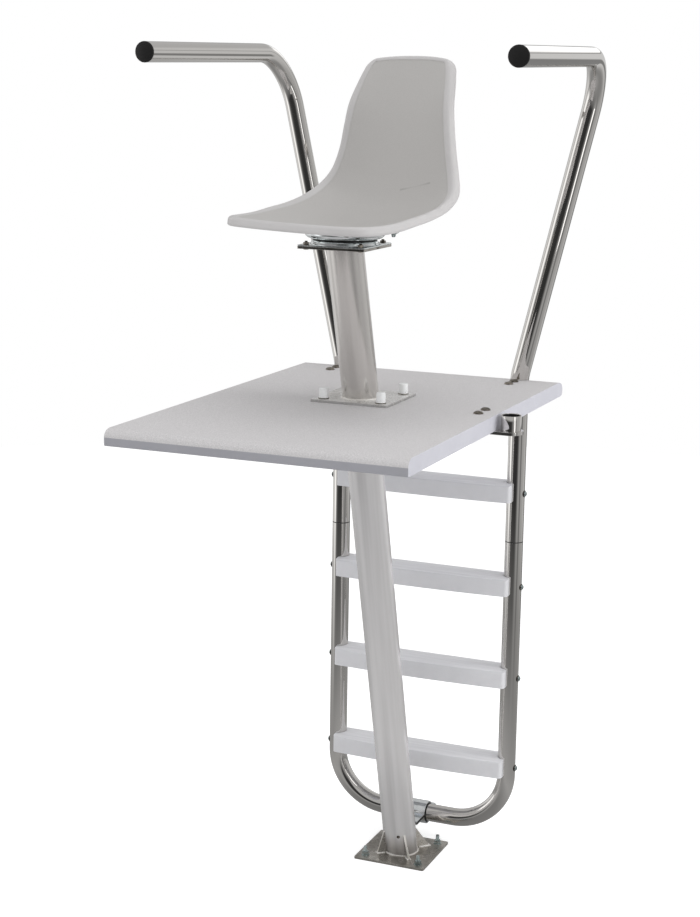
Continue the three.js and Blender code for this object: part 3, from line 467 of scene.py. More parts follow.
def tube_steel(name, light, dark, gloss, depth, fineness, metallic=1.0, streaks=0.0, foot=None):
    """Stainless tube: lines and streaks drawn along it, dull patches, and painted shade that darkens its foot
    between heights.
    """
    material, tree, shader, spot = new_material(name, metallic)
    links = {"Vector": attribute(tree, "along_tube", "Vector"), "Fineness": fineness, "Depth": depth}
    brushed = use_group(tree, BRUSHED, links)
    patches = patches_on(tree, spot, 5.0)
    colour = mix_colour(tree, brushed["Mask"], srgb(dark), srgb(light))
    colour = mix_colour(tree, product(tree, patches, 0.25), colour, srgb(dark))
    if streaks:
        colour = mix_colour(tree, product(tree, brushed["Streaks"], streaks), colour, srgb(STREAK))
    # Painted shade: the foot is darkened in patches, most below the first height and fading out by the second
    if foot:
        rise = node(tree, "ShaderNodeSeparateXYZ", {"Vector": spot}).outputs["Z"]
        foot_shade = span(tree, rise, 0.75, 0.0, foot[0] * MM, foot[1] * MM)
        foot_shade = product(tree, foot_shade, span(tree, patches, 0.55, 0.9))
        colour = mix_colour(tree, foot_shade, colour, srgb(FOOT_SHADE))
    roughness = span(tree, blend(tree, brushed["Mask"], patches, 0.5), *gloss)
    fill(tree, shader, {"Base Color": colour, "Roughness": roughness, "Normal": brushed["Normal"]})
    return material


def with_painted_shading(tree, colour):
    """A colour made lighter or darker by the mesh's painted shading: painted light and shade written on its
    faces.
    """
    return mix_colour(tree, 1.0, colour, maths(tree, "ADD", attribute(tree, "painted_shading"), 1.0), "MULTIPLY")


def plate_steel(name, light, dark, gloss, depth=0.15, run=DRAWN, metallic=1.0):
    """Flat steel as it comes from the mill: mottled, with dull patches, drawn one way or none, and with the
    mesh's painted light and shade over it.
    """
    material, tree, shader, spot = new_material(name, metallic)
    links = {"Vector": stretched(tree, spot, run), "Fineness": PLATE_FINENESS, "Depth": depth}
    grain = use_group(tree, GRAIN, links)
    patches = patches_on(tree, spot, 28.0, Low=0.38, High=0.66)
    colour = with_painted_shading(tree, mix_colour(tree, patches, srgb(light), srgb(dark)))
    roughness = span(tree, blend(tree, grain["Mask"], patches, 0.3), *gloss)
    fill(tree, shader, {"Base Color": colour, "Roughness": roughness, "Normal": grain["Normal"]})
    return material


def moulded_plastic(name, light, dark, gloss, fineness, depth):
    """Moulded plastic: a grain all over, faintly uneven in colour and gloss."""
    material, tree, shader, spot = new_material(name, 0.0, 0.4)
    grain = use_group(tree, GRAIN, {"Vector": spot, "Fineness": fineness, "Depth": depth})
    patches = patches_on(tree, spot, 9.0)
    colour = mix_colour(tree, patches, srgb(light), srgb(dark))
    roughness = span(tree, patches, *gloss)
    fill(tree, shader, {"Base Color": colour, "Roughness": roughness, "Normal": grain["Normal"]})
    return material


def scuff_line(tree, spot, start, end):
    """A mask for one thin scuff between two places on the surface."""
    start, end = Vector(start) * MM, Vector(end) * MM
    length = (end - start).length
    run = (end - start) / length
    offset = first_of(tree, "ShaderNodeVectorMath", {0: spot, 1: start}, operation="SUBTRACT")
    links = {0: offset, 1: run}
    along = node(tree, "ShaderNodeVectorMath", links, operation="DOT_PRODUCT").outputs["Value"]
    links = {0: run, "Scale": span(tree, along, 0.0, length, 0.0, length)}
    links = {0: offset, 1: first_of(tree, "ShaderNodeVectorMath", links, operation="SCALE")}
    away = node(tree, "ShaderNodeVectorMath", links, operation="DISTANCE").outputs["Value"]
    return product(tree, span(tree, away, 1.0, 0.0, 1.6 * MM, 3.4 * MM), 0.5)


def masked_plastic(name, plain, gritty, gloss, fineness, depth, run=EVEN, scuff=None):
    """Plastic in pairs of colours, light and dark: grained where the mesh says so and plain elsewhere, with
    the mesh's painted light and shade over it.
    """
    material, tree, shader, spot = new_material(name, 0.0, 0.4)
    cover = attribute(tree, "grained")
    links = {"Vector": stretched(tree, spot, run), "Fineness": fineness, "Depth": depth, "Cover": cover}
    grain = use_group(tree, GRAIN, links)
    smooth_part = mix_colour(tree, patches_on(tree, spot, 7.0), srgb(plain[0]), srgb(plain[1]))
    speck = span(tree, grain["Mask"], 0.0, 1.0, 0.28, 0.62)
    rough_part = mix_colour(tree, speck, srgb(gritty[1]), srgb(gritty[0]))
    colour = with_painted_shading(tree, mix_colour(tree, cover, smooth_part, rough_part))
    if scuff:
        colour = mix_colour(tree, scuff_line(tree, spot, *scuff), colour, srgb(SCUFF))
    roughness = span(tree, cover, *gloss)
    fill(tree, shader, {"Base Color": colour, "Roughness": roughness, "Normal": grain["Normal"]})
    return material


POLISHED = tube_steel("polished tube", (220, 218, 215), (210, 207, 203), (0.025, 0.07), 0.004, 700.0)
# The satin post's foot, from 26 to 72 mm up, carries painted shade
SATIN = tube_steel(
    "satin post", (250, 248, 248), (238, 236, 236), (0.16, 0.26), 0.03, 500.0, 0.6, 0.16, foot=(26.0, 72.0),
)
SEAT_POST = tube_steel(
    "seat post steel", (230, 227, 224), (212, 208, 204), (0.18, 0.26), 0.03, 500.0, 0.84, 0.14,
)
MILL_PLATE = plate_steel("mill plate", (196, 192, 185), (152, 147, 140), (0.2, 0.4), metallic=0.8)
FLANGE_PLATE = plate_steel("flange plate", (230, 229, 228), (214, 212, 209), (0.24, 0.3), 0.0, metallic=0.4)
WEB_PLATE = plate_steel("web plate", (206, 203, 198), (178, 174, 168), (0.2, 0.36), 0.04, metallic=0.6)
EDGE_PLATE = plate_steel("dark mill plate", (196, 193, 187), (160, 155, 147), (0.06, 0.14), 0.05)
PRESSED_ZINC = plate_steel("pressed zinc", (240, 243, 243), (218, 222, 223), (0.07, 0.16), 0.04, EVEN)
BOLT_ZINC = plate_steel("bolt zinc", (206, 216, 215), (142, 153, 153), (0.16, 0.34), 0.1, EVEN)
DARK_STEEL = plate_steel("dark bolt steel", (158, 151, 142), (88, 82, 75), (0.14, 0.32), 0.1, EVEN)
WELD = plate_steel("weld bead", (250, 248, 245), (222, 218, 211), (0.12, 0.28), 0.3, EVEN, 0.35)
SEAT_SHELL = masked_plastic(
    "seat shell plastic",
    ((198, 196, 196), (192, 190, 190)), ((186, 184, 182), (179, 177, 175)), (0.38, 0.5), 700.0, 0.12,
    scuff=((78.7, -313.9, 1811.8), (162.6, -344.3, 1832.0)),
)
BOARD = masked_plastic(
    "board plastic",
    ((206, 206, 214), (198, 198, 206)), ((214, 212, 213), (187, 185, 186)), (0.45, 0.66), 640.0, 0.5,
)
# The grained top's colours are lighter than the plain sides': painted light on the up-facing top
TREAD_PLASTIC = masked_plastic(
    "tread plastic",
    ((222, 222, 225), (214, 214, 217)), ((240, 240, 243), (226, 226, 229)), (0.45, 0.58), 300.0, 0.5,
    run=(0.03, 1, 1),
)
WHITE_CAP = moulded_plastic("white cap plastic", (240, 241, 241), (230, 231, 232), (0.3, 0.42), 600.0, 0.06)
BLACK = moulded_plastic("black rubber", (30, 29, 29), (20, 20, 20), (0.4, 0.6), 700.0, 0.2)


def place(obj, material, body, *nodes):
    """Gives a finished piece its material and its body, and hides the CAD nodes that it stands for."""
    obj.data.materials.clear()
    obj.data.materials.append(material)
    for polygon in obj.data.polygons:
        polygon.material_index = 0
    if nodes:
        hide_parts(*nodes)
    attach(obj, body)


# Node trees that make shapes
def shape_group(name, *inputs):
    inputs = [("Geometry", "Geometry", None), *inputs, ("Material", "Material", None)]
    return new_group(name, "GeometryNodeTree", inputs, [("Geometry", "Geometry")])


def finish_shape(tree, shape, given, result):
    """Makes what a tree has set into real mesh, coated with the given material."""
    real = first_of(tree, "GeometryNodeRealizeInstances", {"Geometry": shape})
    links = {"Geometry": real, "Material": given["Material"]}
    fill(tree, result, {"Geometry": first_of(tree, "GeometryNodeSetMaterial", links)})
    return tree


def fastener_tree():
    """Sets a made shape on each point, aimed along the point's heading and turned about it by chance."""
    tree, given, result = shape_group("fastener set", ("Shape", "Object", None), ("Turn Seed", "Int", 1))
    shape = node(tree, "GeometryNodeObjectInfo", {"Object": given["Shape"]}).outputs["Geometry"]
    links = {"Name": "heading"}
    heading = first_of(tree, "GeometryNodeInputNamedAttribute", links, data_type="FLOAT_VECTOR")
    links = {2: 0.0, 3: 2 * math.pi, "Seed": given["Turn Seed"]}
    turn = node(tree, "FunctionNodeRandomValue", links, data_type="FLOAT").outputs[1]
    spin = first_of(tree, "ShaderNodeCombineXYZ", {"Z": turn})
    aim = first_of(tree, "FunctionNodeAlignRotationToVector", {"Vector": heading}, axis="Z")
    links = {"Rotation": aim, "Rotate By": spin}
    rotation = first_of(tree, "FunctionNodeRotateRotation", links, rotation_space="LOCAL")
    points = first_of(tree, "GeometryNodeMeshToPoints", {"Mesh": given["Geometry"]})
    links = {"Points": points, "Instance": shape, "Rotation": rotation}
    return finish_shape(tree, first_of(tree, "GeometryNodeInstanceOnPoints", links), given, result)


def bead_tree():
    """Carries a rippled weld bead along a path."""
    sizes = [("Radius", "Float", 0.002), ("Ripple", "Float", 0.0006), ("Step", "Float", 0.0012)]
    tree, given, result = shape_group("weld bead", *sizes)
    line = first_of(tree, "GeometryNodeMeshToCurve", {"Mesh": given["Geometry"]})
    links = {"Curve": line, "Length": given["Step"]}
    fine = first_of(tree, "GeometryNodeResampleCurve", links, mode="LENGTH")
    links = {"Resolution": 10, "Radius": given["Radius"]}
    ring = first_of(tree, "GeometryNodeCurvePrimitiveCircle", links, mode="RADIUS")
    links = {"Curve": fine, "Profile Curve": ring, "Fill Caps": True}
    sweep = first_of(tree, "GeometryNodeCurveToMesh", links)
    where = first_of(tree, "GeometryNodeInputPosition")
    links = {"Vector": where, "Scale": 260.0, "Detail": 1.0}
    lumps = node(tree, "ShaderNodeTexNoise", links).outputs["Fac"]
    lift = product(tree, maths(tree, "SUBTRACT", lumps, 0.5), given["Ripple"])
    links = {0: first_of(tree, "GeometryNodeInputNormal"), "Scale": product(tree, lift, 2.0)}
    shift = first_of(tree, "ShaderNodeVectorMath", links, operation="SCALE")
    moved = first_of(tree, "GeometryNodeSetPosition", {"Geometry": sweep, "Offset": shift})
    return finish_shape(tree, moved, given, result)


FASTENERS, BEADS = fastener_tree(), bead_tree()


def run_nodes(obj, tree, values):
    """Runs a node tree on an object, the tree's inputs given by their labels."""
    step = obj.modifiers.new("step", "NODES")
    step.node_group = tree
    keys = {item.name: item.identifier for item in tree.interface.items_tree if item.in_out == "INPUT"}
    for label, value in values.items():
        step[keys[label]] = value
    return bake_modifiers(obj)


def fastener_set(name, shape, places, material, seed, heading=(0, 0, 1)):
    """One mesh of the same fastener at several places, each turned by chance about its own axis."""
    mesh = new_mesh(name, places, [])
    write_layer(mesh, "heading", [heading] * len(places))
    values = {"Shape": shape, "Turn Seed": seed, "Material": material}
    obj = run_nodes(new_object(name, mesh), FASTENERS, values)
    discard(shape)
    return smooth(obj, 28)


def weld_beads(name, paths, radius, closed):
    points, edges = [], []
    for path in paths:
        first = len(points)
        points += path
        edges += [(first + i, first + i + 1) for i in range(len(path) - 1)]
        if closed:
            edges.append((len(points) - 1, first))
    obj = new_object(name, new_mesh(name, points, [], edges))
    values = {"Radius": radius * MM, "Ripple": radius * 0.5 * MM, "Step": 1.1 * MM, "Material": WELD}
    place(smooth(run_nodes(obj, BEADS, values), 180), WELD, FRAME)


def post_weld(name, lean, y, z, radius):
    """The bead round a leaning post's foot."""
    rx, ry = POST_RADIUS + 1, post_depth(lean) + 1
    weld_beads(name, [[(rx * math.cos(a), y + ry * math.sin(a), z) for a in circle(72)]], radius, True)


# Parts of fasteners. A hexagon's face is a share of its flats, and falls away to the corners in degrees
HEX_SIDES, HEX_FACE, HEX_FALL = 48, 0.95, 30
DOME_FOOT, DOME_STEPS = 0.6, 8


def hexagon_body(name, corner_radius, z0, z1):
    """A hexagon nut or head, its corners turned off at both ends."""
    flat = corner_radius * math.cos(math.pi / 6)
    face = flat * HEX_FACE
    points = []
    for level in range(4):
        for j in range(HEX_SIDES):
            a = 2 * math.pi * j / HEX_SIDES
            reach = flat / math.cos((a + math.pi / 6) % (math.pi / 3) - math.pi / 6)
            fall = (reach - face) * math.tan(math.radians(HEX_FALL))
            r = face if level in (0, 3) else reach
            points.append((r * math.cos(a), r * math.sin(a), (z0, z0 + fall, z1 - fall, z1)[level]))
    return solid(name, points, capped_faces(4, HEX_SIDES))


def stud(name, radius, z0, z1, pitch=1.5, depth=0.45):
    """A threaded end, its thread shown as rings."""
    profile = [(0.0, z0), (radius, z0)]
    z = z0
    while z + pitch < z1 - depth:
        profile += [(radius, z), (radius - depth, z + pitch / 2)]
        z += pitch
    profile += [(radius, z), (radius - depth, z1), (0.0, z1)]
    return turned(name, profile, THREAD_SIDES)


def washer(name, radius, z0, z1, edge=0.3):
    profile = [(0.0, z0), (radius, z0), (radius, z1 - edge), (radius - edge, z1), (0.0, z1)]
    return turned(name, profile, HEAD_SIDES)


def dome(name, radius, z0, height):
    """A low round head on a short straight foot."""
    foot = z0 + DOME_FOOT
    profile = [(0.0, z0), (radius, z0), (radius, foot)]
    for a in np.linspace(0, math.pi / 2, DOME_STEPS + 1)[1:-1]:
        profile.append((radius * math.cos(a), foot + (height - DOME_FOOT) * math.sin(a)))
    return turned(name, [*profile, (0.0, z0 + height)], HEAD_SIDES)


def node_names(stem, count):
    return [f"{stem}_{i + 1}" for i in range(count)]


# Plates: the corner's radius in plan, and how far the edges are broken
BASE_ROUND, CLAMPED_ROUND, MOUNT_ROUND = (5.0, 0.8), (5.0, 0.7), (4.0, 0.7)
RACE_ROUND, SEAT_PLATE_ROUND, TAB_ROUND = (4.0, 0.6), (14.0, 0.6), (10.0, 0.6)

# Base plate with its webs: each web's bearing and how far it reaches
BASE_POST_Y = -2.5
WEB = {"thickness": 6.0, "height": 66.0, "toe": 3.0, "flat": 1.5, "root": 30.0, "heel": 20.0, "sunk": -1.0}
WEB_FEET = ((45.0, 82.0), (135.0, 82.0), (225.0, 71.0), (308.0, 71.0))
WEB_WELD = {"radius": 2.7, "side": 0.6, "lift": 0.4, "past": 3, "root": 6, "stops": 9}
WEEP_HOLE = {
    "turn": -72.5, "height": 68.0, "radius": 4.6, "under": -1.0, "side": 0.35, "face": 0.6, "edge": 0.5,
}


def web_plate(degrees, reach):
    top, foot = POST_RADIUS + WEB["flat"], WEB["sunk"]
    outline = [
        (WEB["heel"], foot), (reach, foot), (reach, WEB["toe"]), (top, WEB["height"]),
        (top - WEB["root"], WEB["height"]),
    ]
    half = WEB["thickness"] / 2
    points = [(x, y, z) for y in (-half, half) for x, z in outline]
    obj = solid("web", points, capped_faces(2, len(outline)))
    lean = Matrix.Identity(4)
    lean[1][2] = -LOWER_LEAN
    turn = Matrix.Rotation(math.radians(degrees), 4, "Z")
    obj.data.transform(Matrix.Translation((0, BASE_POST_Y * MM, PLATE_TOP * MM)) @ lean @ turn)
    return round_edges(obj, 0.7, 2)


def web_face(normal, centre):
    """A painted highlight on the sloped top edges, and painted light and shade on the flat sides: lighter on
    the web at the back right, darker on the others.
    """
    if normal.z > 0.08:
        return 0.0, 0.6
    return 0.0, 0.2 if centre.x > 0 and centre.y > 0 else -0.35


def make_weep_hole():
    """A small drain hole low on the post's front, shown as painted shade: a dark plug that stands barely
    proud.
    """
    degrees, height, radius, under, side, face, edge = WEEP_HOLE.values()
    profile = [(0.0, under), (radius, under), (radius, side), (radius - edge, face), (0.0, face)]
    hole = turned("weep_hole", profile, 24)
    x, y = math.cos(math.radians(degrees)), math.sin(math.radians(degrees))
    axis_y = BASE_POST_Y - LOWER_LEAN * (height - PLATE_TOP)
    aimed(hole, (POST_RADIUS * x, axis_y + post_depth(LOWER_LEAN) * y, height), (x, y, LOWER_LEAN * y))
    place(smooth(hole, 40), DARK_STEEL, FRAME)


def make_web_welds():
    runs = []
    foot = np.array((0, BASE_POST_Y, PLATE_TOP + WEB_WELD["lift"]))
    for degrees, reach in WEB_FEET:
        turn = math.radians(degrees)
        along = np.array((math.cos(turn), math.sin(turn), 0.0))
        across = np.array((-math.sin(turn), math.cos(turn), 0.0))
        inner = POST_RADIUS + WEB_WELD["root"] - WEB_WELD["root"] * math.sin(turn) ** 2
        stops = np.linspace(inner + WEB_WELD["past"], reach + WEB_WELD["past"], WEB_WELD["stops"])
        for side in SIGNS:
            start = foot + across * side * (WEB["thickness"] / 2 + WEB_WELD["side"])
            runs.append([start + along * r for r in stops])
    weld_beads("web_welds", runs, WEB_WELD["radius"], False)


def make_base():
    lowest, highest = low("base_plate"), high("base_plate")
    plate = rounded_box("base_plate_welded", (*lowest[:2], 0.0), (*highest[:2], PLATE_TOP), *BASE_ROUND)
    place(plate, MILL_PLATE, FRAME, "base_plate")
    webs = joined("foot_webs", [web_plate(*foot) for foot in WEB_FEET])
    paint_faces(webs, web_face)
    place(webs, WEB_PLATE, FRAME)
    post = leaning_post("lower_post_tube", LOWER_LEAN, BASE_POST_Y, PLATE_TOP, SUPPORT_BOTTOM)
    place(post, SATIN, FRAME, "lower_post")
    post_weld("post_foot_weld", LOWER_LEAN, BASE_POST_Y, PLATE_TOP + 0.8, 2.3)
    make_web_welds()
    make_weep_hole()


def anchor_shape():
    return joined("anchor shape", [
        stud("anchor stud", 5.0, 0.5, 31.0),
        washer("anchor washer", 11.0, PLATE_TOP, PLATE_TOP + 2),
        hexagon_body("anchor nut", 9.2, PLATE_TOP + 2, PLATE_TOP + 11),
    ])


# Board, plates and posts. A nose is given by its length and height, and a strip runs below the front one
FRONT_NOSE, REAR_NOSE = (25.0, 18.0), (38.0, 22.0)
HEEL, REAR_HEEL = 4.0, 14.0
# The strip below the front nose is darkened with painted shade
STRIP = {"height": 19.5, "painted_shading": -0.41}
NOTCH_GAP = 1.2
# Painted shade on the upright edges of the flange and support plates, darker than their tops
PLATE_EDGE_SHADE = -0.42
# How far a cutter reaches past what it cuts
PAST = 5


def board_nose(end, inward, size, degrees):
    length, height = size
    return [
        (end + inward * length * (1 - math.cos(a)), BOARD_TOP - height * (1 - math.sin(a)))
        for a in np.radians(degrees)
    ]


def board_profile(front, back):
    profile = arc(front + HEEL, BOARD_BOTTOM + HEEL, HEEL, 180, 270, 5)
    profile += arc(back - REAR_HEEL, BOARD_BOTTOM + REAR_HEEL, REAR_HEEL, 270, 360, 5)
    profile += board_nose(back, -1, REAR_NOSE, np.linspace(0, 90, 17))
    profile += board_nose(front, 1, FRONT_NOSE, np.linspace(90, 0, 13))
    return [*profile, (front, BOARD_BOTTOM + STRIP["height"])]


def paint_faces(obj, choose):
    """Writes how grained each face is, and the painted light or shade on it, by its normal and centre."""
    mesh = obj.data
    faces = [(choose(face.normal, face.center), face.loop_total) for face in mesh.polygons]
    for k, name in enumerate(("grained", "painted_shading")):
        values = [chosen[k] for chosen, corners in faces for _ in range(corners)]
        write_layer(mesh, name, values, "FLOAT", "CORNER")


def board_face(normal, centre):
    """Grit on the top and the nose, painted shade on the smooth strip below, and a painted highlight along a
    side's top edge.
    """
    if abs(normal.x) > 0.35:
        return 0.0, 0.3 if normal.z > 0.3 else 0.0
    if normal.y < -0.3 and centre.z < (BOARD_BOTTOM + STRIP["height"]) * MM:
        return 0.0, STRIP["painted_shading"]
    return 1.0 if normal.z > 0.35 or normal.y < -0.3 else 0.0, 0.0


def make_board():
    lowest, highest = low("platform"), high("platform")
    profile = board_profile(lowest[1], highest[1])
    points = [(x, y, z) for x in (lowest[0], highest[0]) for y, z in profile]
    board = solid("standing_board", points, capped_faces(2, len(profile)))
    radius, behind = RAIL_RADIUS + NOTCH_GAP, highest[1] + PAST
    for side in SIDES.values():
        x = side * RAIL_X
        outline = [*arc(x, RAIL_Y, radius, 180, 360, 24), (x + radius, behind), (x - radius, behind)]
        boolean(board, prism("notch", outline, BOARD_BOTTOM - PAST, BOARD_TOP + PAST), "DIFFERENCE")
    round_edges(board, 2.2, 3, 40)
    paint_faces(board, board_face)
    place(board, BOARD, FRAME, "platform")


def make_posts():
    for name in ("seat_post_flange", "platform_support_plate"):
        plate = rounded_box(name + "_plate", low(name), high(name), *CLAMPED_ROUND)
        # Painted shade: the plates' upright edges are darker than their tops
        paint_faces(plate, lambda normal, centre: (0.0, 0.0 if abs(normal.z) > 0.9 else PLATE_EDGE_SHADE))
        place(plate, FLANGE_PLATE, FRAME, name)
    foot_y = BASE_POST_Y - LOWER_LEAN * (BOARD_BOTTOM - PLATE_TOP)
    post = leaning_post("seat_post_tube", SEAT_LEAN, foot_y, FLANGE_TOP, MOUNT_BOTTOM)
    place(post, SEAT_POST, FRAME, "seat_post")
    post_weld("seat_post_weld", SEAT_LEAN, foot_y, FLANGE_TOP + 0.6, 3.0)


def flange_bolt_shape():
    return joined("flange bolt shape", [
        stud("flange stud", 6.0, SUPPORT_BOTTOM - 8, FLANGE_TOP + 15),
        hexagon_body("flange head", 10.4, SUPPORT_BOTTOM - 8, SUPPORT_BOTTOM),
        washer("flange washer", 13.0, FLANGE_TOP, FLANGE_TOP + 2),
        hexagon_body("flange nut", 8.4, FLANGE_TOP + 2, FLANGE_TOP + 10),
    ])


def nut_cap_shape():
    """A push-on cap: a hollow cup with a small bead round its foot and a rounded top edge."""
    foot, top, radius, bore, edge = FLANGE_TOP + 2, FLANGE_TOP + 26, 11.5, 9.5, 2.5
    skin = radius - 0.35
    profile = [(bore, foot), (radius, foot), (radius, foot + 1.2), (skin, foot + 1.6), (skin, top - edge)]
    for a in np.radians((30, 60, 90)):
        profile.append((skin - edge + edge * math.cos(a), top - edge + edge * math.sin(a)))
    profile += [(4.0, top), (0.0, top), (0.0, top - 2), (bore, top - 2), (bore, foot)]
    return turned("nut cap shape", profile, 48)


# Swivel. A dish and the ring are listed by radius and rise: from their foot, and then from their top
LOWER_DISH = ((81.0, 0.0), (80.0, 1.5), (78.8, 4.0))
LOWER_DISH_TOP = ((77.5, -2.0), (74.0, 0.0))
RING = ((75.0, 0.0), (75.6, 1.0), (75.6, -1.0), (75.0, 0.0))
UPPER_DISH = {"foot": 77, "reach": 17, "rise": 13, "top": 14.5}
SEAT_PLATE = {"half": 93.0, "thickness": 3}
SEAT_TURN = -20.0


def turn_with_seat(obj):
    turn = Matrix.Rotation(math.radians(SEAT_TURN), 4, "Z")
    obj.data.transform(Matrix.Translation((SWIVEL[0] * MM, SWIVEL[1] * MM, 0)) @ turn)
    return obj


def turned_disc(name, skin, foot, top, at=(0.0, 0.0)):
    profile = [(0.0, foot), *skin, (0.0, top)]
    return smooth(turned(name, profile, DISH_SIDES, at), 50)


def make_swivel():
    mount = rounded_box("mount_plate", low("swivel_mount_plate"), high("swivel_mount_plate"), *MOUNT_ROUND)
    place(mount, EDGE_PLATE, FRAME, "swivel_mount_plate")
    lowest, highest = low("swivel_lower_race"), high("swivel_lower_race")
    ring_foot, ring_top = low("swivel_bearing_ring")[2], high("swivel_bearing_ring")[2]
    plate = rounded_box("race", lowest, (*highest[:2], lowest[2] + 3), *RACE_ROUND)
    foot = lowest[2] + 2.9
    skin = [(r, foot + rise) for r, rise in LOWER_DISH]
    skin += [(r, ring_foot + rise) for r, rise in LOWER_DISH_TOP]
    race = turned_disc("lower_dish", skin, foot, ring_foot, SWIVEL[:2])
    place(smooth(joined("lower_race", [plate, race]), 50), PRESSED_ZINC, FRAME, "swivel_lower_race")
    levels = (ring_foot, ring_foot, ring_top, ring_top)
    skin = [(r, level + rise) for (r, rise), level in zip(RING, levels)]
    ring = turned_disc("bearing_ring", skin, ring_foot, ring_top, SWIVEL[:2])
    place(ring, BLACK, FRAME, "swivel_bearing_ring")
    foot, top = low("swivel_upper_plate")[2], high("swivel_upper_plate")[2]
    radius, reach, rise, dish_top = UPPER_DISH.values()
    skin = [(radius, foot)]
    for a in np.radians(np.linspace(12, 90, 9)):
        skin.append((radius + reach * math.sin(a), foot + rise * (1 - math.cos(a))))
    skin.append((radius + reach, foot + dish_top))
    dish = turned_disc("upper_dish", skin, foot, foot + dish_top)
    half, thickness = SEAT_PLATE.values()
    plate = rounded_box("seat_plate", (-half, -half, top - thickness), (half, half, top), *SEAT_PLATE_ROUND)
    upper = turn_with_seat(joined("seat_dish", [dish, plate]))
    place(smooth(upper, 50), PRESSED_ZINC, SEAT, "swivel_upper_plate")


def swivel_bolt_shape():
    top = MOUNT_TOP + 3
    return joined("swivel bolt shape", [
        stud("swivel stud", 3.6, MOUNT_BOTTOM - 2.0, top + 8.5, 1.25),
        hexagon_body("swivel head", 6.5, MOUNT_BOTTOM - 2.5, MOUNT_BOTTOM),
        hexagon_body("swivel nut", 7.0, top, top + 5.5),
    ])


# Seat shell: its centre line and its edge line are smooth curves, and the dish runs between them
SEAT_SHAPE = {
    "wall": 4.5, "roll": 9.0, "lip": 10.0, "dish": 2.4, "half_width": 210.0, "half_length": 400.0,
    "front": 62.0, "top": 26.0, "top_roll": 5.2, "crease": 1.3, "boss": 80.0,
}
SEAT_CENTRE = [
    (-207, 1751), (-150, 1742), (-85, 1736), (-20, 1732), (45, 1733), (100, 1744), (142, 1773),
    (166, 1818), (180, 1873), (190, 1933), (199, 1993), (211, 2053), (225.4, 2117.5),
]
SEAT_EDGE = [
    (199, -195, 1753), (213, -145, 1752), (218, -85, 1755), (218.5, -25, 1764), (216, 35, 1774),
    (213, 90, 1790), (203, 134, 1816), (184.5, 154, 1850), (167.5, 163, 1900), (156.5, 167, 1953),
    (146.5, 174, 2008), (134.5, 193, 2061), (120, 213, 2110),
]
# Rings from the middle to the rim. Those past the inner share draw together at the top edge
INNER_SHARE, TOP_SQUEEZE = 0.9, 0.82
RING_SIZES = [*np.linspace(0.05, INNER_SHARE, 18), 0.915, 0.925, 0.935, 0.945, 0.955, 0.97, 1.0]
CREASE_FROM, CREASE_RUN = 0.925, 0.03
ROLL_STEPS, RIM_CORNER_STEPS, RIM_SIDE_STEPS, RIM_END_STEPS = 8, 12, 44, 14


def smooth_curve(points, share):
    """A point on the smooth curve through the points, at a share of the way from 0 to 1."""
    points = np.array(points, float)
    spot = np.clip(share, 0, 1) * (len(points) - 1)
    i = min(int(spot), len(points) - 2)
    t = spot - i
    p1, p2 = points[i], points[i + 1]
    p0 = points[i - 1] if i > 0 else 2 * p1 - p2
    p3 = points[i + 2] if i + 2 < len(points) else 2 * p2 - p1
    into, out = (p2 - p0) / 2, (p3 - p1) / 2
    return p1 + t * into + t * t * (3 * (p2 - p1) - 2 * into - out) + t**3 * (2 * (p1 - p2) + into + out)


def seat_point(across, along):
    """A place on the shell's upper face, from -1 to 1 both ways."""
    share = (along + 1) / 2
    mid, edge = smooth_curve(SEAT_CENTRE, share), smooth_curve(SEAT_EDGE, share)
    bend = abs(across) ** SEAT_SHAPE["dish"]
    y, z = (mid[k] + (edge[k + 1] - mid[k]) * bend for k in (0, 1))
    return np.array((across * edge[0], y, z))


def seat_surface(x, y):
    """Height of the shell's upper face at a place in its own plan."""
    places = (seat_point(a, b) for a in np.linspace(-1, 1, 61) for b in np.linspace(-1, 0.4, 81))
    return min(places, key=lambda p: (p[0] - x) ** 2 + (p[1] - y) ** 2)[2]


def seat_loop():
    """The rim's loop on the flattened shell, from -1 to 1 both ways."""
    w, l, front, top = (SEAT_SHAPE[key] for key in ("half_width", "half_length", "front", "top"))
    corners = [
        (w - front, front - l, front, -90, RIM_END_STEPS), (w - top, l - top, top, 0, RIM_SIDE_STEPS),
        (top - w, l - top, top, 90, RIM_END_STEPS), (front - w, front - l, front, 180, RIM_SIDE_STEPS),
    ]
    loop = []
    for (x, y, radius, start, _), following in zip(corners, corners[1:] + corners[:1]):
        loop += arc(x, y, radius, start, start + 90, RIM_CORNER_STEPS)
        x, y, radius, start, steps = following
        turn = math.radians(start)
        goal = np.array((x + radius * math.cos(turn), y + radius * math.sin(turn)))
        last = np.array(loop[-1])
        loop += [tuple(last + (goal - last) * k / steps) for k in range(1, steps)]
    return [(x / w, y / l) for x, y in loop]


def smooth_step(t):
    t = min(1.0, max(0.0, t))
    return t * t * (3 - 2 * t)


def top_share(loop):
    """How much each point of the rim's loop belongs to the top edge, from 0 to 1."""
    plan = np.array(loop) * (SEAT_SHAPE["half_width"], SEAT_SHAPE["half_length"])
    run = np.roll(plan, -1, axis=0) - np.roll(plan, 1, axis=0)
    upward = -run[:, 0] / np.linalg.norm(run, axis=1)
    return np.clip(upward, 0, 1) ** 2


def seat_grid(loop, topness):
    """The rings of places on the shell's upper face."""
    close = 1 - TOP_SQUEEZE * topness
    sizes = [np.where(size <= INNER_SHARE, size, 1 - (1 - size) * close) for size in RING_SIZES]
    return np.array([[seat_point(*(np.array(spot) * at)) for spot, at in zip(loop, ring)] for ring in sizes])


def ways_from(ring, j, inside):
    """The ways outward and downward from a place on a ring, square to the ring."""
    around = unit(ring[(j + 1) % len(ring)] - ring[j - 1])
    outward = ring[j] - inside
    outward = unit(outward - around * (outward @ around))
    return outward, unit(np.cross(around, outward))


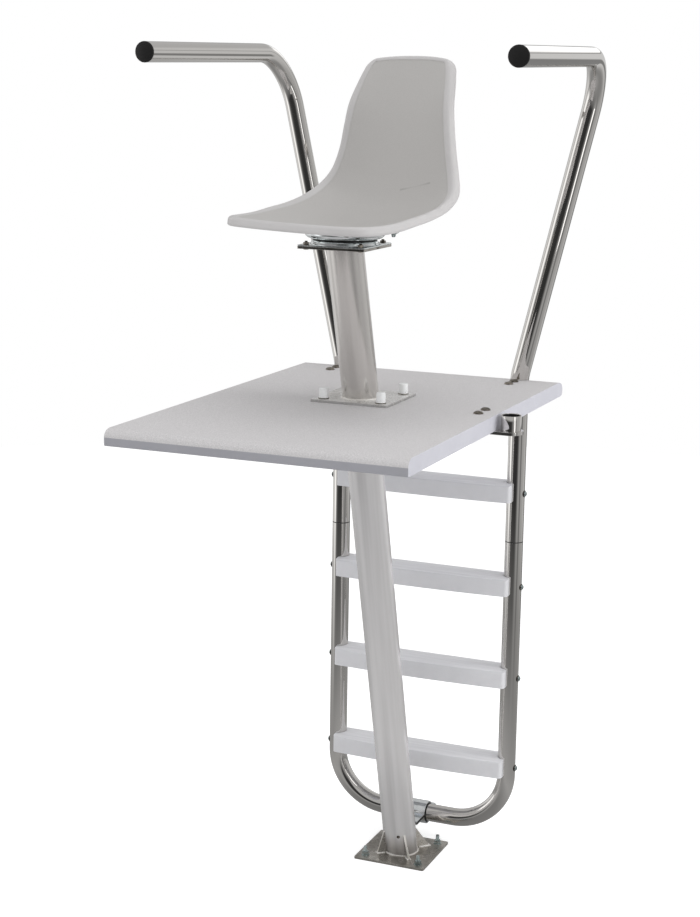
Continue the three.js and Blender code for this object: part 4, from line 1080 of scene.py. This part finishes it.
def seat_column(grid, j, topness, inner_edge):
    """The shell's section from its middle outwards, round the rolled rim, and back underneath."""
    wall, lip, crease = (SEAT_SHAPE[key] for key in ("wall", "lip", "crease"))
    insides = [seat_point(0, 0), *grid[:-1, j]]
    downs = [ways_from(ring, j, inside)[1] for ring, inside in zip(grid, insides)]
    sunk = [crease * (1 - smooth_step((size - CREASE_FROM) / CREASE_RUN)) for size in RING_SIZES]
    column = [ring[j] + way * depth for ring, way, depth in zip(grid, downs, sunk)]
    outward, down = ways_from(grid[-1], j, inner_edge)
    roll = SEAT_SHAPE["roll"] + (SEAT_SHAPE["top_roll"] - SEAT_SHAPE["roll"]) * topness
    centre = grid[-1][j] + down * roll

    def rolled(radius, start, end):
        angles = np.linspace(start, end, ROLL_STEPS + 1)
        return [centre + outward * radius * math.sin(a) - down * radius * math.cos(a) for a in angles]

    outer, inner = rolled(roll, 0, math.pi / 2), rolled(roll - wall, math.pi / 2, 0)
    foot_out, foot_in = outer[-1] + down * lip, inner[0] + down * lip
    tip = (foot_out + foot_in) / 2 + down * wall / 2
    column += [*outer[1:], outer[-1] + down * lip * 0.5, foot_out, foot_out + (tip - foot_out) * 0.6, tip]
    column += [foot_in + (tip - foot_in) * 0.6, foot_in, inner[0] + down * lip * 0.5, *inner]
    return column + [grid[i][j] + downs[i] * (wall + crease) for i in reversed(range(len(grid) - 1))]


def make_shell():
    loop = seat_loop()
    count, rings = len(loop), len(RING_SIZES)
    topness = top_share(loop)
    grid = seat_grid(loop, topness)
    nudge = 1 - 1 / SEAT_SHAPE["half_length"]
    columns = [
        seat_column(grid, j, topness[j], seat_point(nudge * a, nudge * b)) for j, (a, b) in enumerate(loop)
    ]
    rows = len(columns[0])
    top = seat_point(0, 0) - np.array((0, 0, SEAT_SHAPE["crease"]))
    points = [top, top - np.array((0, 0, SEAT_SHAPE["wall"]))] + [p for column in columns for p in column]

    def at(j, i):
        return 2 + (j % count) * rows + i

    faces = []
    for j in range(count):
        faces.append((0, at(j, 0), at(j + 1, 0)))
        faces.append((1, at(j + 1, rows - 1), at(j, rows - 1)))
        faces += [(at(j, i), at(j, i + 1), at(j + 1, i + 1), at(j + 1, i)) for i in range(rows - 1)]
    mesh = new_mesh("bucket_shell", points, faces)
    grained = [1.0] * (rings - 4) + [0.5] + [0.0] * (rows - rings + 3)
    write_layer(mesh, "grained", [1.0, 1.0] + grained * count, "FLOAT")
    shell = turn_with_seat(new_object("bucket_shell", turn_outwards(mesh)))
    place(smooth(shell, 60), SEAT_SHELL, SEAT, "seat_shell")


def make_bosses():
    """The moulded posts under the seat that its bolts go into."""
    foot = high("swivel_upper_plate")[2]
    bosses = []
    for x in (-SEAT_SHAPE["boss"], SEAT_SHAPE["boss"]):
        for y in (-SEAT_SHAPE["boss"], SEAT_SHAPE["boss"]):
            top = seat_surface(x, y) - SEAT_SHAPE["crease"] - SEAT_SHAPE["wall"] / 2
            profile = [(0.0, foot), (11.0, foot), (12.5, foot + (top - foot) * 0.6), (14.0, top), (0.0, top)]
            bosses.append(turned("boss", profile, HEAD_SIDES, (x, y)))
    place(smooth(turn_with_seat(joined("seat_bosses", bosses)), 40), SEAT_SHELL, SEAT)


def seat_bolt_shape(cone):
    """A bolt up into the seat: a long cone head behind, where there is room, and a low dome in front."""
    face = high("swivel_upper_plate")[2] - SEAT_PLATE["thickness"]
    if cone:
        profile = [(0.0, 0.0), (8.5, 0.0), (8.5, 1.5), (5.6, 3.0), (4.4, 8.0), (3.4, 9.5), (0.0, 9.5)]
        head = turned("seat bolt head", profile, HEAD_SIDES)
    else:
        head = dome("seat bolt head", 7.0, 0.0, 2.0)
    head.data.transform(Matrix.Translation((0, 0, face * MM)) @ Matrix.Rotation(math.pi, 4, "X"))
    return joined("seat bolt shape", [stud("seat stud", 4.0, face - 1, face + 9, 1.25), head])


# Ladder and handrails
LADDER = {"foot": 67.6, "bend": 149.0}
RAIL_START_Z = 1311.8
RAIL_BEND, RAIL_END = (438.0, 148.5, 2128.0), (451.1, -595.2, 2120.7)
RAIL_BENDS = (150.0, 140.0)
CHAMFER, CAP_SEAT = 1.2, 0.4
CAP_LENGTH = 4.0
TAB = {"half": 22, "front": 20.0, "thickness": 5}
SEAM = {"sunk": 0.1, "depth": 2.0, "half": 1.1}


def make_handrail(name, side):
    bend, end = (np.array(spot) * (side, 1, 1) for spot in (RAIL_BEND, RAIL_END))
    grip = unit(end - bend)
    tube_end = end - grip * CAP_LENGTH
    corners = [(side * RAIL_X, RAIL_Y, SPLICE_Z), (side * RAIL_X, RAIL_Y, RAIL_START_Z), bend, tube_end]
    rail = swept_tube(f"handrail_tube_{name}", bent_path(corners, RAIL_BENDS), (CHAMFER, CAP_SEAT))
    place(rail, POLISHED, FRAME, f"handrail_{name}")
    lowest = (side * RAIL_X - TAB["half"], TAB["front"], BOARD_BOTTOM - TAB["thickness"])
    highest = (side * RAIL_X + TAB["half"], RAIL_Y, BOARD_BOTTOM)
    place(rounded_box(f"rail_tab_{name}", lowest, highest, *TAB_ROUND), MILL_PLATE, FRAME)
    r = RAIL_RADIUS
    profile = [
        (0.0, -6.0), (r - 2, -6.0), (r - 2, 0.0), (r + 0.2, 0.1), (r + 0.2, 2.4), (r - 0.6, 3.6),
        (r - 1.6, CAP_LENGTH), (0.0, CAP_LENGTH),
    ]
    cap = aimed(turned(f"end_cap_{name}", profile, TUBE_SIDES), tube_end, grip)
    place(smooth(cap, 50), BLACK, FRAME, f"grip_cap_{name}")


def make_ladder():
    foot, bend = LADDER.values()
    x, y = RAIL_X, RAIL_Y
    path = bent_path([(x, y, SPLICE_Z), (x, y, foot), (-x, y, foot), (-x, y, SPLICE_Z)], (bend, bend))
    place(swept_tube("ladder_tube", path, (CHAMFER, CHAMFER)), POLISHED, FRAME, "ladder_frame")
    for name, side in SIDES.items():
        make_handrail(name, side)


def make_splice_seams():
    """The dark line round each leg where the handrail's tube meets the ladder's."""
    outer = RAIL_RADIUS - SEAM["sunk"]
    inner, z0, z1 = outer - SEAM["depth"], SPLICE_Z - SEAM["half"], SPLICE_Z + SEAM["half"]
    for name, side in SIDES.items():
        profile = [(inner, z0), (outer, z0), (outer, z1), (inner, z1)]
        seam = turned(f"splice_seam_{name}", profile, at=(side * RAIL_X, RAIL_Y))
        place(seam, BLACK, FRAME)


# Treads
TREAD = {"side": 46.0, "edge": 5.0, "crown": 4.0, "corner": 9.0, "bow": 9.0, "front": 88.0, "hole": 0.6}
POCKET = {"half": 198, "wall": 7, "height": 39}
TREAD_STATIONS = 25


def tread_profile(y0, y1, bottom):
    edge = TREAD["edge"]
    shoulder = bottom + TREAD["side"] - edge
    near, far = y1 - edge, y0 + edge
    profile = [(y0, bottom), (y1, bottom), *arc(near, shoulder, edge, 0, 90, 6)]
    for t in np.linspace(0, 1, 19)[1:-1]:
        profile.append((near + (far - near) * t, shoulder + edge + 4 * TREAD["crown"] * t * (1 - t)))
    return profile + arc(far, shoulder, edge, 90, 180, 6)


def bow_front(tread, y0, y1):
    """Carries the front face forward in plan, most at the tread's middle."""
    half = RAIL_X - 2
    for vertex in tread.data.vertices:
        x, y = vertex.co.x / MM, vertex.co.y / MM
        vertex.co.y -= TREAD["bow"] * (1 - min(1.0, (x / half) ** 2)) * (y1 - y) / (y1 - y0) * MM


def make_treads():
    for name in node_names("tread", 4):
        lowest, highest = low(name), high(name)
        y0, y1, bottom = TREAD["front"], highest[1], lowest[2]
        below, above = bottom - PAST, highest[2] + PAST
        profile = tread_profile(y0, y1, bottom)
        stations = np.linspace(lowest[0], highest[0], TREAD_STATIONS)
        points = [(x, y, z) for x in stations for y, z in profile]
        tread = solid(name + "_moulding", points, capped_faces(TREAD_STATIONS, len(profile)))
        plan = rounded_rectangle(lowest[0], highest[0], y0, y1, TREAD["corner"])
        boolean(tread, prism("plan", plan, below, above), "INTERSECT")
        for side in SIDES.values():
            hole = arc(side * RAIL_X, RAIL_Y, RAIL_RADIUS + TREAD["hole"], 0, 360, TUBE_SIDES)[:-1]
            boolean(tread, prism("hole", hole, below, above), "DIFFERENCE")
        half, wall, height = POCKET.values()
        pocket = rounded_rectangle(-half, half, y0 + wall, y1 - wall, 5.0)
        boolean(tread, prism("pocket", pocket, below, bottom + height), "DIFFERENCE")
        bow_front(tread, y0, y1)
        round_edges(tread, 1.2, 2, 50)
        # Grained tops, which the tread plastic paints lighter: painted light on the up-facing faces
        paint_faces(tread, lambda normal, centre: (1.0 if normal.z > 0.8 else 0.0, 0.0))
        place(tread, TREAD_PLASTIC, FRAME, name)


def carriage_shape(drop=0):
    """A bolt with a domed head on the board's top, its nut under a plate below the board."""
    top, bottom = BOARD_TOP, BOARD_BOTTOM - TAB["thickness"]
    shape = joined("carriage shape", [
        dome("carriage head", 12.0, top, 7.0),
        hexagon_body("carriage nut", 9.0, bottom - 10, bottom - 2),
        washer("carriage washer", 11.0, bottom - 2, bottom),
        stud("carriage stud", 4.75, bottom - 12, bottom),
    ])
    for vertex in shape.data.vertices:
        if vertex.co.z < (BOARD_BOTTOM - 1) * MM:
            vertex.co.z -= drop * MM
    return shape


# Clamp at the ladder's foot
def make_clamp():
    for name in ("ladder_clamp_upper", "ladder_clamp_lower", "ladder_clamp_liner"):
        copy = new_object(name + "_strap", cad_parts[name].data.copy())
        bm = bmesh.new()
        bm.from_mesh(copy.data)
        bmesh.ops.remove_doubles(bm, verts=bm.verts, dist=1e-6)
        bmesh.ops.dissolve_limit(bm, angle_limit=math.radians(1), verts=bm.verts, edges=bm.edges)
        bm.to_mesh(copy.data)
        bm.free()
        round_edges(copy, 0.5, 2, 40)
        place(copy, BLACK if name.endswith("liner") else PRESSED_ZINC, FRAME, name)


def clamp_bolt_shape():
    top, bottom = LADDER["foot"] + 5.5, LADDER["foot"] - 5.5
    return joined("clamp bolt shape", [
        hexagon_body("clamp head", 7.5, top, top + 6),
        hexagon_body("clamp nut", 7.5, bottom - 6, bottom),
        stud("clamp stud", 4.0, bottom - 11, bottom, 1.25),
    ])


# Umbrella bracket
UMBRELLA = {"x": 388.6, "half": 30.0, "thickness": 8, "height": 36.5, "bore": 22.3, "edge": 0.5}


def make_umbrella():
    wall_x, y = low("umbrella_bracket")[0], middle("umbrella_bracket")[1]
    x, half, thickness, height, bore, edge = UMBRELLA.values()
    outline = [(wall_x, y - half), *arc(x, y, half, -90, 90, 32), (wall_x, y + half)]
    plate = round_edges(prism("plate", outline, BOARD_BOTTOM - thickness, BOARD_BOTTOM), 0.7, 2)
    outer, top, foot = RAIL_RADIUS, BOARD_BOTTOM + height, BOARD_BOTTOM - 0.1
    floor = foot + 0.2
    profile = [
        (outer, foot), (outer, top - edge), (outer - edge, top), (bore + edge, top), (bore, top - edge),
        (bore, floor), (0.0, floor), (0.0, foot),
    ]
    sleeve = smooth(turned("sleeve", profile, at=(x, y)), 50)
    place(joined("umbrella_sleeve_bracket", [plate, sleeve]), POLISHED, FRAME, "umbrella_bracket")
    inner, outer, base, rim = bore - 2.0, bore - 0.05, foot + 0.4, top - 1.0
    profile = [(inner, base), (outer, base), (outer, top - 1.6), (bore - 0.6, rim), (inner, rim)]
    place(smooth(turned("sleeve_bush", profile, at=(x, y)), 50), BLACK, FRAME)


# Fasteners. Each set's seed turns its heads by chance
def make_fasteners():
    seat_bolts = sorted(node_names("seat_bolt", 4), key=lambda name: middle(name)[1])
    sets = [
        ("deck_anchors", anchor_shape(), node_names("deck_anchor", 4), BOLT_ZINC, FRAME),
        ("flange_bolts", flange_bolt_shape(), node_names("flange_bolt", 4), DARK_STEEL, FRAME),
        ("nut_caps", nut_cap_shape(), node_names("nut_cap", 4), WHITE_CAP, FRAME),
        ("swivel_bolts", swivel_bolt_shape(), node_names("swivel_bolt", 4), DARK_STEEL, FRAME),
        ("seat_bolts_front", seat_bolt_shape(False), seat_bolts[:2], DARK_STEEL, SEAT),
        ("seat_bolts_rear", seat_bolt_shape(True), seat_bolts[2:], BOLT_ZINC, SEAT),
        ("umbrella_bolts", carriage_shape(drop=3), node_names("umbrella_bolt", 2), DARK_STEEL, FRAME),
        ("clamp_bolts", clamp_bolt_shape(), node_names("ladder_clamp_bolt", 2), BOLT_ZINC, FRAME),
    ]
    for name in SIDES:
        stem = f"handrail_bolt_{name}"
        sets.append((stem + "_set", carriage_shape(), node_names(stem, 2), DARK_STEEL, FRAME))
    for seed, (name, shape, nodes, material, body) in enumerate(sets):
        places = [(*middle(n)[:2], 0.0) for n in nodes]
        place(fastener_set(name, shape, places, material, seed + 1), material, body, *nodes)
    for name, side in SIDES.items():
        nodes = node_names(f"tread_bolt_{name}", 4)
        places = [(side * (RAIL_X + RAIL_RADIUS), RAIL_Y, middle(n)[2]) for n in nodes]
        head, ring = dome("tread bolt head", 7.0, 0.9, 5.4), washer("tread bolt washer", 9.2, 0.0, 1.2)
        made = fastener_set(f"tread_bolts_{name}", head, places, BOLT_ZINC, 20 + side, (side, 0, 0))
        place(made, BOLT_ZINC, FRAME, *nodes)
        made = fastener_set(f"tread_washers_{name}", ring, places, DARK_STEEL, 30 + side, (side, 0, 0))
        place(made, DARK_STEEL, FRAME)


make_base()
make_board()
make_posts()
make_swivel()
make_shell()
make_bosses()
make_ladder()
make_treads()
make_splice_seams()
make_clamp()
make_umbrella()
make_fasteners()

# Camera, as the photograph was taken
CAMERA = {"turn": 22.65, "down": 11.8, "roll": 0.87, "focal_px": 1859.72}
CAMERA_PLACE = (1.68612, -4.44902, 2.08675)
PICTURE_HEIGHT = 917
SENSOR = 36.0


def make_camera():
    a, e, r = (math.radians(CAMERA[k]) for k in ("turn", "down", "roll"))
    forward = Vector((-math.sin(a) * math.cos(e), math.cos(a) * math.cos(e), -math.sin(e)))
    right = Vector((math.cos(a), math.sin(a), 0.0))
    up = right.cross(forward)
    x_axis = right * math.cos(r) + up * math.sin(r)
    y_axis = up * math.cos(r) - right * math.sin(r)
    matrix = Matrix((x_axis, y_axis, -forward)).transposed().to_4x4()
    matrix.translation = Vector(CAMERA_PLACE)
    data = bpy.data.cameras.new("camera")
    data.sensor_width = SENSOR
    data.lens = CAMERA["focal_px"] / PICTURE_HEIGHT * SENSOR
    camera = new_object("camera", data)
    camera.matrix_world = matrix
    bpy.context.scene.camera = camera


def area_light(name, spot, target, size, power):
    data = bpy.data.lights.new(name, "AREA")
    data.energy = power
    data.shape = "RECTANGLE"
    data.size, data.size_y = size
    light = new_object(name, data)
    light.location = spot
    light.rotation_mode = "QUATERNION"
    light.rotation_quaternion = (Vector(target) - Vector(spot)).to_track_quat("-Z", "Y")
    light.visible_glossy = False
    return light


# The studio as metal sees it: brightness by the compass, in degrees counted from the camera's side
STUDIO_ROUND = [
    (-180, 0.46), (-168, 0.5), (-150, 0.66), (-136, 0.85), (-122, 0.9), (-112, 0.7), (-104, 0.85),
    (-94, 1.45), (-84, 1.45), (-76, 0.7), (-68, 0.3), (-60, 0.13), (-48, 0.06), (-30, 0.04), (-4, 0.04),
    (4, 0.09), (12, 0.2), (22, 0.42), (36, 0.42), (44, 0.18), (50, 0.18), (60, 0.46), (90, 0.5),
    (112, 0.62), (128, 0.68), (145, 0.74), (160, 0.66), (172, 0.5), (180, 0.46),
]
STUDIO_STRENGTH = 1.5
WHITE = (1, 1, 1, 1)


def studio_grey(level):
    return (*[level / STUDIO_STRENGTH] * 3, 1)


def by_ray(tree, others, glossy, camera):
    """One shader for what the camera sees, one for what shiny things reflect, and one for the rest."""
    path = node(tree, "ShaderNodeLightPath").outputs
    first = first_of(tree, "ShaderNodeMixShader", {0: path["Is Glossy Ray"], 1: others, 2: glossy})
    return first_of(tree, "ShaderNodeMixShader", {0: path["Is Camera Ray"], 1: first, 2: camera})


def background(tree, colour, strength):
    return first_of(tree, "ShaderNodeBackground", {"Color": colour, "Strength": strength})


def make_world():
    world = bpy.data.worlds.new("studio")
    bpy.context.scene.world = world
    world.use_nodes = True
    tree = world.node_tree
    tree.nodes.clear()
    direction = node(tree, "ShaderNodeTexCoord").outputs["Generated"]
    parts = node(tree, "ShaderNodeSeparateXYZ", {"Vector": direction}).outputs
    compass = maths(tree, "ARCTAN2", parts["Y"], parts["X"])
    turn = maths(tree, "SUBTRACT", compass, math.radians(CAMERA["turn"] - 90.0))
    share = maths(tree, "DIVIDE", maths(tree, "ADD", turn, math.pi), 2 * math.pi)
    wrapped = maths(tree, "FRACT", share)
    height = product(tree, maths(tree, "ADD", parts["Z"], 1.0), 0.5)
    stops = [((degrees + 180) / 360, value / STUDIO_STRENGTH) for degrees, value in STUDIO_ROUND]
    around = ramp(tree, wrapped, stops)
    # Two darker bands and a bright card stand behind the chair, where its grips reflect them
    behind = ramp(tree, wrapped, [(0.0, 0.5), (0.02, 0.0), (0.83, 0.0), (0.85, 1.0), (0.95, 1.0), (1.0, 0.5)])
    bands = ramp(tree, height, [
        (0.0, 0.0), (0.34, 0.0), (0.36, 1.0), (0.43, 1.0), (0.46, 0.0),
        (0.568, 0.0), (0.576, 0.7), (0.59, 0.7), (0.6, 0.0), (1.0, 0.0),
    ])
    card_round = window(tree, wrapped, 0.9, 0.915, 0.965, 0.98)
    card = product(tree, card_round, window(tree, height, 0.59, 0.6, 0.66, 0.68))
    overhead = ramp(tree, height, [(0.0, 0.0), (0.66, 0.0), (0.71, 1.0), (1.0, 1.0)])
    underfoot = ramp(tree, height, [(0.0, 1.0), (0.07, 0.95), (0.36, 0.0), (1.0, 0.0)])
    seen = mix_colour(tree, product(tree, behind, bands), around, studio_grey(0.26))
    seen = mix_colour(tree, card, seen, studio_grey(1.4))
    seen = mix_colour(tree, overhead, seen, studio_grey(0.55))
    seen = mix_colour(tree, underfoot, seen, studio_grey(0.44))
    shown = by_ray(
        tree, background(tree, WHITE, 0.72), background(tree, seen, STUDIO_STRENGTH),
        background(tree, WHITE, 1.0),
    )
    node(tree, "ShaderNodeOutputWorld", {"Surface": shown})


# Floor: pale paper that the camera sees as white, and that metal sees dimmed and fading into the studio
FLOOR_RADIUS = 6.0
FLOOR_CENTRE_Y = -0.3
FLOOR_SIDES = 96
FLOOR_FADE = (0.9, 4.2)
FLOOR_SEEN = [(0.0, 0.2), (0.045, 0.26), (0.08, 0.44), (0.15, 0.36), (0.24, 0.28), (0.4, 0.2), (1, 0.12)]


def emission(tree, colour, strength):
    return first_of(tree, "ShaderNodeEmission", {"Color": colour, "Strength": strength})


def make_floor():
    mesh = bpy.data.meshes.new("floor")
    r = FLOOR_RADIUS
    rim = [(r * math.cos(a), r * math.sin(a) + FLOOR_CENTRE_Y, 0.0) for a in circle(FLOOR_SIDES)]
    mesh.from_pydata(rim, [], [tuple(range(FLOOR_SIDES))])
    floor = new_object("floor", mesh)
    material = bpy.data.materials.new("floor paper")
    material.use_nodes = True
    tree = material.node_tree
    tree.nodes.clear()
    spot = node(tree, "ShaderNodeTexCoord").outputs["Object"]
    distance = node(tree, "ShaderNodeVectorMath", {0: spot}, operation="LENGTH").outputs["Value"]
    fade = span(tree, distance, 0.0, 1.0, *FLOOR_FADE)
    paper = first_of(tree, "ShaderNodeBsdfDiffuse", {"Color": (0.82, 0.82, 0.82, 1)})
    shown = first_of(tree, "ShaderNodeAddShader", {0: paper, 1: emission(tree, WHITE, 0.55)})
    mirror = emission(tree, ramp(tree, maths(tree, "DIVIDE", distance, FLOOR_RADIUS), FLOOR_SEEN), 1.0)
    through = first_of(tree, "ShaderNodeBsdfTransparent")
    glossy = first_of(tree, "ShaderNodeMixShader", {0: fade, 1: mirror, 2: through})
    node(tree, "ShaderNodeOutputMaterial", {"Surface": by_ray(tree, paper, glossy, shown)})
    floor.data.materials.append(material)


make_camera()
make_world()
make_floor()
area_light("overhead softbox", (0.3, -0.6, 5.0), (0.0, -0.4, 1.0), (3.0, 3.0), 34)
area_light("right softbox", (4.2, 0.2, 2.4), (0.0, -0.3, 1.3), (2.6, 3.0), 70)
area_light("front fill", (-0.8, -5.2, 2.8), (0.0, 0.0, 1.2), (3.0, 3.0), 30)
strip = area_light("strip softbox", (2.3, -1.42, 2.1), (0.0, 0.14, 2.1), (0.48, 2.5), 5.2)
strip.visible_glossy = True
strip.visible_camera = False
strip.visible_diffuse = False

bpy.context.scene.view_settings.view_transform = "Standard"
